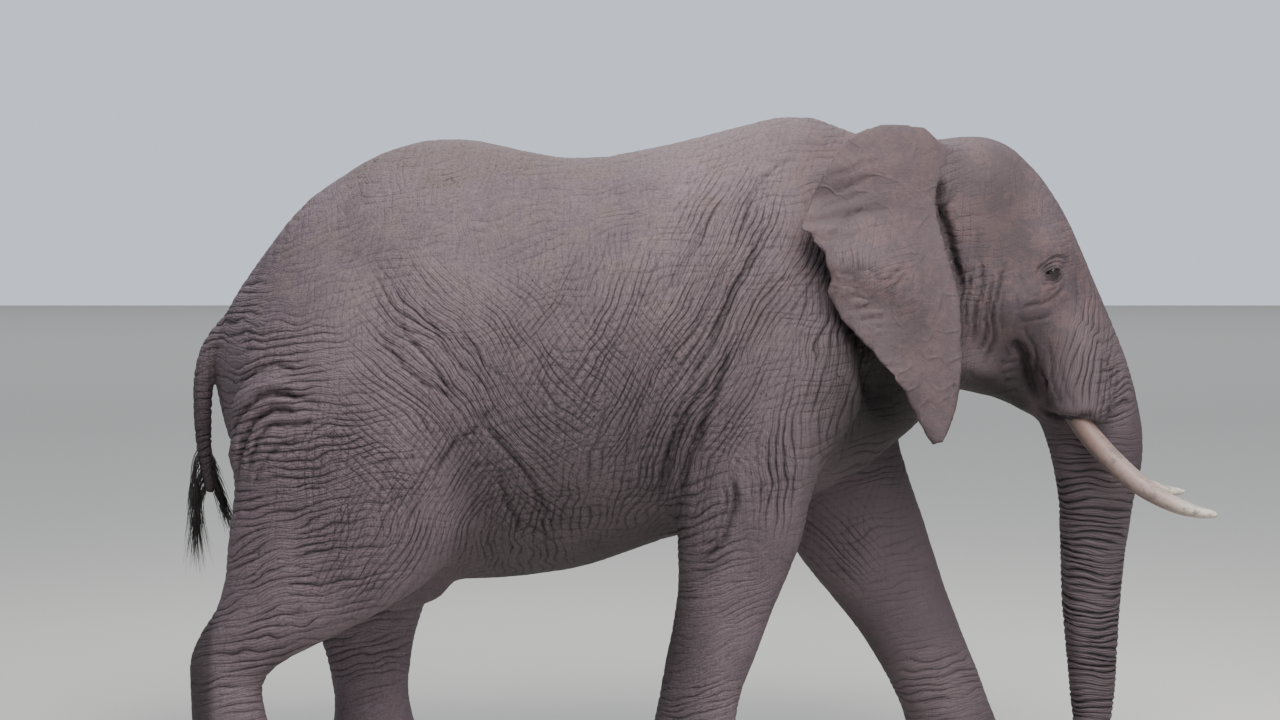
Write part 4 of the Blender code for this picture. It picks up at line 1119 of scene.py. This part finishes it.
def hide():
    """Dry, creased hide, its creases darkened with painted shade and its ridges lighter with dust and
    painted light.
    """
    made, net, shader = material("hide")
    place = net.place()
    x, _, z = net.parts(place)
    lines_a, lines_b = net.attribute("lines_a", "Vector"), net.attribute("lines_b", "Vector")
    wrinkled = sum(net.parts(lines_a) + net.parts(lines_b)[:2])
    ear = net.parts(lines_b)[2]
    creased = net.attribute("creased")
    moved = swayed(net, place)
    coarse = wrinkles(net, moved, lines_a, lines_b)
    fine = wrinkles(net, moved, lines_a, lines_b, FINER, 0.30)
    grain = net.noise(place, 95.0, 2.0, 0.65)
    patches = net.noise(place, 1.7, 3.0, 0.55)
    cloud = net.noise(place, 5.5, 5.0, 0.65) - 0.5
    fleck = net.noise(place, 36.0, 3.0, 0.7) - 0.5

    # where each tone lies, from 0 to 1
    body = 1 - ear
    # darker towards the head: partly its own tone, partly painted shade of the ears over the front of
    # the body
    front = net.rise(x + cloud * 0.2, 0.25, 0.60)
    dust = net.rise(z + cloud * 1.8 + fleck * 0.8, 1.9, 3.2)
    # darker over the middle of the body: partly the skin's own tone, partly painted shade
    side = net.rise(x + cloud * 0.3, -1.20, -0.80) * net.rise(x, 0.02, -0.33)
    # darker downwards towards the belly: painted shade
    under = net.rise(2.18 - z + cloud * 0.5, 0.0, 0.9) * net.band(x, -1.35, -0.75, -0.10, 0.15)
    # painted shade below the ears, over the shoulder and forward of it
    shoulder_shade = net.rise(x, -0.15, 0.10) * net.rise(2.42 - z + cloud * 0.4, 0.0, 0.35)
    shoulder_shade = shoulder_shade * net.rise(z, 0.85, 1.25) * body
    # darker temple: partly the skin's own tone, partly painted shade in its hollow
    temple = net.band(x, 1.05, 1.22, 1.38, 1.56) * net.band(z, 2.20, 2.45, 2.62, 3.05) * body
    trunk = net.rise(x, 1.45, 1.60) * net.rise(z, 1.65, 1.35)
    rusty = net.rise(cloud + fleck * 0.5, -0.05, 0.12)
    brow = front * body * rusty * net.rise(z, 1.70, 2.30)
    pale = net.rise(patches * 0.6 + fleck * 0.4, 0.26, 0.38)
    pale = pale * net.rise(z, 2.4, 2.8) * net.rise(x, 0.5, 0.2)
    warm = net.rise(cloud + fleck * 0.3, -0.02, 0.16) * net.rise(z, 1.7, 2.3) * (1 - front)
    soil = net.rise(z + fleck * 0.35 + cloud * 0.8, 2.58, 2.84)
    soil = soil * (0.35 + net.rise(x, -0.1, -0.7) * 0.65) * (1 - front * 0.8)
    clods = net.rise(fleck + cloud * 0.4, 0.10, 0.16) * soil
    mottle = 1 - net.rise(fleck + cloud * 0.6, -0.12, 0.18)
    # painted shade under the jaw
    jaw = net.rise(z + cloud * 0.1, 1.92, 1.80) * net.rise(z, 1.35, 1.65)
    jaw = jaw * net.band(x, 1.00, 1.30, 1.44, 1.53)
    # painted shade in the hollow between neck and shoulder, behind the ear
    hollow = net.rise(z + cloud * 0.3, 2.35, 1.90) * net.rise(z, 1.20, 1.65) * body
    hollow = hollow * net.rise(x + cloud * 0.3, 0.42, 0.72) * net.rise(x, 1.12, 0.92)
    # the tail and the rump behind it, darker downwards: painted shade, and the tail's darker tone
    tail = net.rise(x, -2.10, -2.15) * net.rise(2.05 - z, 0.0, 0.5)
    # darker skin round the eye: painted shade under the brow, and the darker skin there
    eye_place = eye_frame(RIGHT)[0]
    ahead = x - eye_place.x
    over = (z - eye_place.z + ahead * SLIT_SLOPE) * 1.7
    lids = net.rise((ahead * ahead + over * over) ** 0.5, 0.075, 0.025)
    # lighter tops between the wrinkles: dust, and painted light from above
    ridges = net.rise(coarse, 0.70, 1.0) * net.rise(wrinkled, 0.2, 0.8)

    grey = net.mix(net.rise(patches, 0.35, 0.65), (0.084, 0.061, 0.072, 1), (0.116, 0.084, 0.099, 1))
    grey = net.layered(
        grey,
        (dust * 0.55, (0.180, 0.126, 0.141, 1)),
        (side * 0.36, (0.045, 0.033, 0.038, 1)),
        (under * 0.94, (0.027, 0.020, 0.023, 1)),
        (shoulder_shade * 0.62, (0.042, 0.030, 0.035, 1)),
        (front * 0.72, (0.061, 0.044, 0.050, 1)),
        (temple * 0.72, (0.027, 0.016, 0.017, 1)),
        (trunk * 0.45, (0.037, 0.028, 0.033, 1)),
        (ear * (0.25 + rusty * 0.45), (0.098, 0.063, 0.063, 1)),
        (brow * (0.46 - temple * 0.22), (0.120, 0.067, 0.064, 1)),
        (pale * 0.20, (0.225, 0.168, 0.190, 1)),
        (warm * 0.42, (0.105, 0.076, 0.062, 1)),
        (soil * 0.80, (0.096, 0.068, 0.065, 1)),
        (clods * 0.70, (0.040, 0.026, 0.022, 1)),
        (mottle * 0.30, (0.045, 0.034, 0.038, 1)),
    )
    # painted shade: the creases of the wrinkles and the placed creases, the deep fold before the ear
    # among them, go towards near black
    dark = net.mix(0.22, (0.008, 0.006, 0.007, 1), grey)
    colour = net.layered(
        grey,
        (net.rise(coarse, 0.86, 0.20) * 0.95, dark),
        (net.rise(fine, 0.86, 0.20) * 0.65, dark),
        (creased * 0.75, (0.008, 0.006, 0.007, 1)),
        (ridges * 0.16, (0.25, 0.19, 0.21, 1)),
        ((0.5 - grain) * (1.4 - front * 0.9), (0.02, 0.015, 0.017, 1)),
        ((grain - 0.5) * (0.6 - front * 0.5), (0.28, 0.21, 0.23, 1)),
        # near-black painted shade under the jaw, behind the ear, under the tail and round the eye
        (jaw * 0.80 + hollow * 0.80 + tail * 0.60 + lids * 0.55, (0.008, 0.006, 0.006, 1)),
    )
    veins = net.rise(abs(net.noise(moved, 6.5, 1.0, 0.5) - 0.5), 0.05, 0.0) * ear
    height = coarse * 0.0080 + fine * 0.0042 + grain * 0.0030 + veins * 0.0025
    net.dress(shader, colour, 0.88 - coarse * 0.14 + (grain - 0.5) * 0.1, height)
    shader.inputs["Specular IOR Level"].default_value = 0.35
    return made


def ivory():
    """Worn ivory: stained where it leaves the lip, scratched and greyer along its length, and darker
    underneath with painted shade.
    """
    made, net, shader = material("ivory")
    place = net.place()
    along, under = net.attribute("along"), net.attribute("under")
    cloud = net.noise(place, 9.0, 5.0, 0.6)
    streaks = net.noise(net.vector("MULTIPLY", place, (30.0, 120.0, 60.0)), 1.0, 3.0, 0.6)
    tip = net.rise(along + (cloud - 0.5) * 0.3, 0.55, 0.98)
    stain = net.rise(along + (cloud - 0.5) * 0.35, 0.50, 0.10)
    smudge = net.rise(cloud + (streaks - 0.5) * 0.3, 0.50, 0.62)
    # the tusk's underside darkened with painted shade
    underside_shade = net.rise(under, 0.15, 0.95) * (1 - along * 0.5)
    colour = net.layered(
        (0.275, 0.200, 0.180, 1),
        (tip, (0.52, 0.47, 0.39, 1)),
        (stain * 0.8, (0.155, 0.085, 0.072, 1)),
        (smudge * 0.6, (0.105, 0.085, 0.085, 1)),
        (net.rise(streaks, 0.50, 0.72) * 0.42, (0.10, 0.07, 0.06, 1)),
        (underside_shade * 0.75, (0.050, 0.036, 0.034, 1)),
    )
    net.dress(shader, colour, 0.36 + cloud * 0.25, streaks * 0.0005 + cloud * 0.0010)
    return made


def horn():
    """Dull, ridged nail."""
    made, net, shader = material("horn")
    place = net.place()
    ridges = net.noise(net.vector("MULTIPLY", place, (60.0, 60.0, 6.0)), 1.0, 3.0, 0.6)
    layers = net.noise(net.vector("MULTIPLY", place, (8.0, 8.0, 90.0)), 1.0, 2.0, 0.5)
    soil = net.noise(place, 22.0, 4.0, 0.6)
    colour = net.layered(
        (0.115, 0.088, 0.080, 1),
        (ridges, (0.235, 0.190, 0.165, 1)),
        (net.rise(soil, 0.42, 0.68) * 0.7, (0.09, 0.07, 0.06, 1)),
    )
    net.dress(shader, colour, 0.55 + soil * 0.3, ridges * 0.0016 + layers * 0.0010)
    return made


def eye():
    """A wet, dark brown eye with a darker pupil."""
    made, net, shader = material("eye")
    aside = net.attribute("from_pupil")
    rays = net.noise(net.place(), 420.0, 3.0, 0.6)
    iris = net.mix(rays, (0.008, 0.004, 0.003, 1), (0.026, 0.012, 0.006, 1))
    white = net.mix(rays, (0.010, 0.007, 0.006, 1), (0.026, 0.018, 0.016, 1))
    colour = net.layered(
        (0.002, 0.002, 0.002, 1),
        (net.rise(aside, 0.0042, 0.0052), iris),
        (net.rise(aside, 0.0105, 0.0130), white),
    )
    net.dress(shader, colour, 0.10)
    shader.inputs["Specular IOR Level"].default_value = 0.3
    shader.inputs["Coat Weight"].default_value = 0.3
    shader.inputs["Coat Roughness"].default_value = 0.03
    return made


def bristle():
    """Coarse black hair with dust on it."""
    made, net, shader = material("bristle")
    cloud = net.noise(net.place(), 26.0, 3.0, 0.6)
    colour = net.mix(net.rise(cloud, 0.4, 0.75), (0.010, 0.008, 0.008, 1), (0.040, 0.030, 0.027, 1))
    net.dress(shader, colour, 0.45 + cloud * 0.2)
    return made


# ---------------------------------------------------------------- the finished pieces


def finished(piece, finish, slot, *nodes):
    """Gives a piece its finish and its place on the body, and says which nodes it replaces."""
    piece.data.materials.clear()
    piece.data.materials.append(finish)
    piece.data.shade_smooth()
    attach(piece, "root")
    if nodes:
        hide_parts(*nodes)


finished(skin, hide(), "skin", *FLESH, "tail", "ear_left", "ear_right")
horn_finish, ivory_finish, eye_finish, bristle_finish = horn(), ivory(), eye(), bristle()
for side, name in SIDES:
    finished(tusk(side, name), ivory_finish, "ivory", f"tusk_{name}")
    finished(eyeball(side, name), eye_finish, "eye", f"eye_{name}")
    finished(lashes(side, name), bristle_finish, "hair")
    for end, count in (("front", 4), ("hind", 3)):
        for number in range(1, count + 1):
            node = f"nail_{end}_{name}_{number}"
            finished(nail(node, f"foot_{end}_{name}"), horn_finish, "horn", node)
finished(tail_brush(), bristle_finish, "hair", "tail_tuft")


# ---------------------------------------------------------------- floor, light and camera

LIGHTS = [  # name, place, the point it faces, size, watts and colour
    ("key", (2.0, -5.2, 8.8), (0.0, 0.0, 1.7), (7.0, 5.0), 1600, (1.0, 0.97, 0.94)),
    ("fill", (4.5, -9.0, 2.8), (0.2, 0.0, 1.5), (7.0, 3.5), 330, (0.97, 0.98, 1.0)),
    ("top", (-1.5, 2.0, 9.5), (-0.3, 0.0, 1.8), (9.0, 6.0), 600, (0.95, 0.98, 1.0)),
    ("far", (0.0, 38.0, 30.0), (0.0, 38.0, 0.0), (90.0, 50.0), 16000, (0.92, 0.96, 1.0)),
]
CAMERA_PLACE = (-0.260, -12.0, 2.573)
CAMERA_DIP = 3.22  # degrees under level
LENS, SENSOR = 75.0, 36.0  # millimetres


def area_light(name, at, towards, size, power, colour):
    data = bpy.data.lights.new(name, "AREA")
    data.shape = "RECTANGLE"
    data.size, data.size_y = size
    data.energy = power
    data.color = colour
    lamp = bpy.data.objects.new(name, data)
    lamp.location = at
    lamp.rotation_euler = (Vector(towards) - Vector(at)).to_track_quat("-Z", "Y").to_euler()
    bpy.context.scene.collection.objects.link(lamp)


def studio():
    """A wide floor whose far part glows with painted light, a pale sky, four lights and the camera."""
    bm = bmesh.new()
    bmesh.ops.create_grid(bm, x_segments=1, y_segments=1, size=60.0)
    floor = object_of("floor", bm)
    plain = bpy.data.materials.new("pale_floor")
    plain.use_nodes = True
    net = Net(plain.node_tree)
    shader = plain.node_tree.nodes["Principled BSDF"]
    shader.inputs["Base Color"].default_value = (0.50, 0.49, 0.46, 1.0)
    shader.inputs["Roughness"].default_value = 0.9
    x, y, _ = net.parts(net.place())
    # the floor's far part glows: painted light
    away = (x * x + y * y) ** 0.5
    glow = net.rise(away, 7.0, 24.0) * (1 - net.rise(y, -2.0, 22.0))
    net.feed(shader.inputs["Emission Color"], net.mix(glow, (0, 0, 0, 1), (0.27, 0.28, 0.28, 1)))
    shader.inputs["Emission Strength"].default_value = 1.0
    plain.cycles.emission_sampling = "NONE"
    floor.data.materials.append(plain)

    world = bpy.data.worlds.new("studio")
    world.use_nodes = True
    net = Net(world.node_tree)
    sky = world.node_tree.nodes["Background"]
    sky.inputs["Color"].default_value = (0.80, 0.88, 1.0, 1.0)
    seen = net.node("ShaderNodeLightPath", {}, {}, "Is Camera Ray")
    net.feed(sky.inputs["Strength"], 0.30 + seen * 0.65)
    bpy.context.scene.world = world

    for light in LIGHTS:
        area_light(*light)

    data = bpy.data.cameras.new("camera")
    data.lens, data.sensor_width = LENS, SENSOR
    camera = bpy.data.objects.new("camera", data)
    camera.location = CAMERA_PLACE
    camera.rotation_euler = (math.radians(90.0 - CAMERA_DIP), 0.0, 0.0)
    bpy.context.scene.collection.objects.link(camera)
    bpy.context.scene.camera = camera


studio()
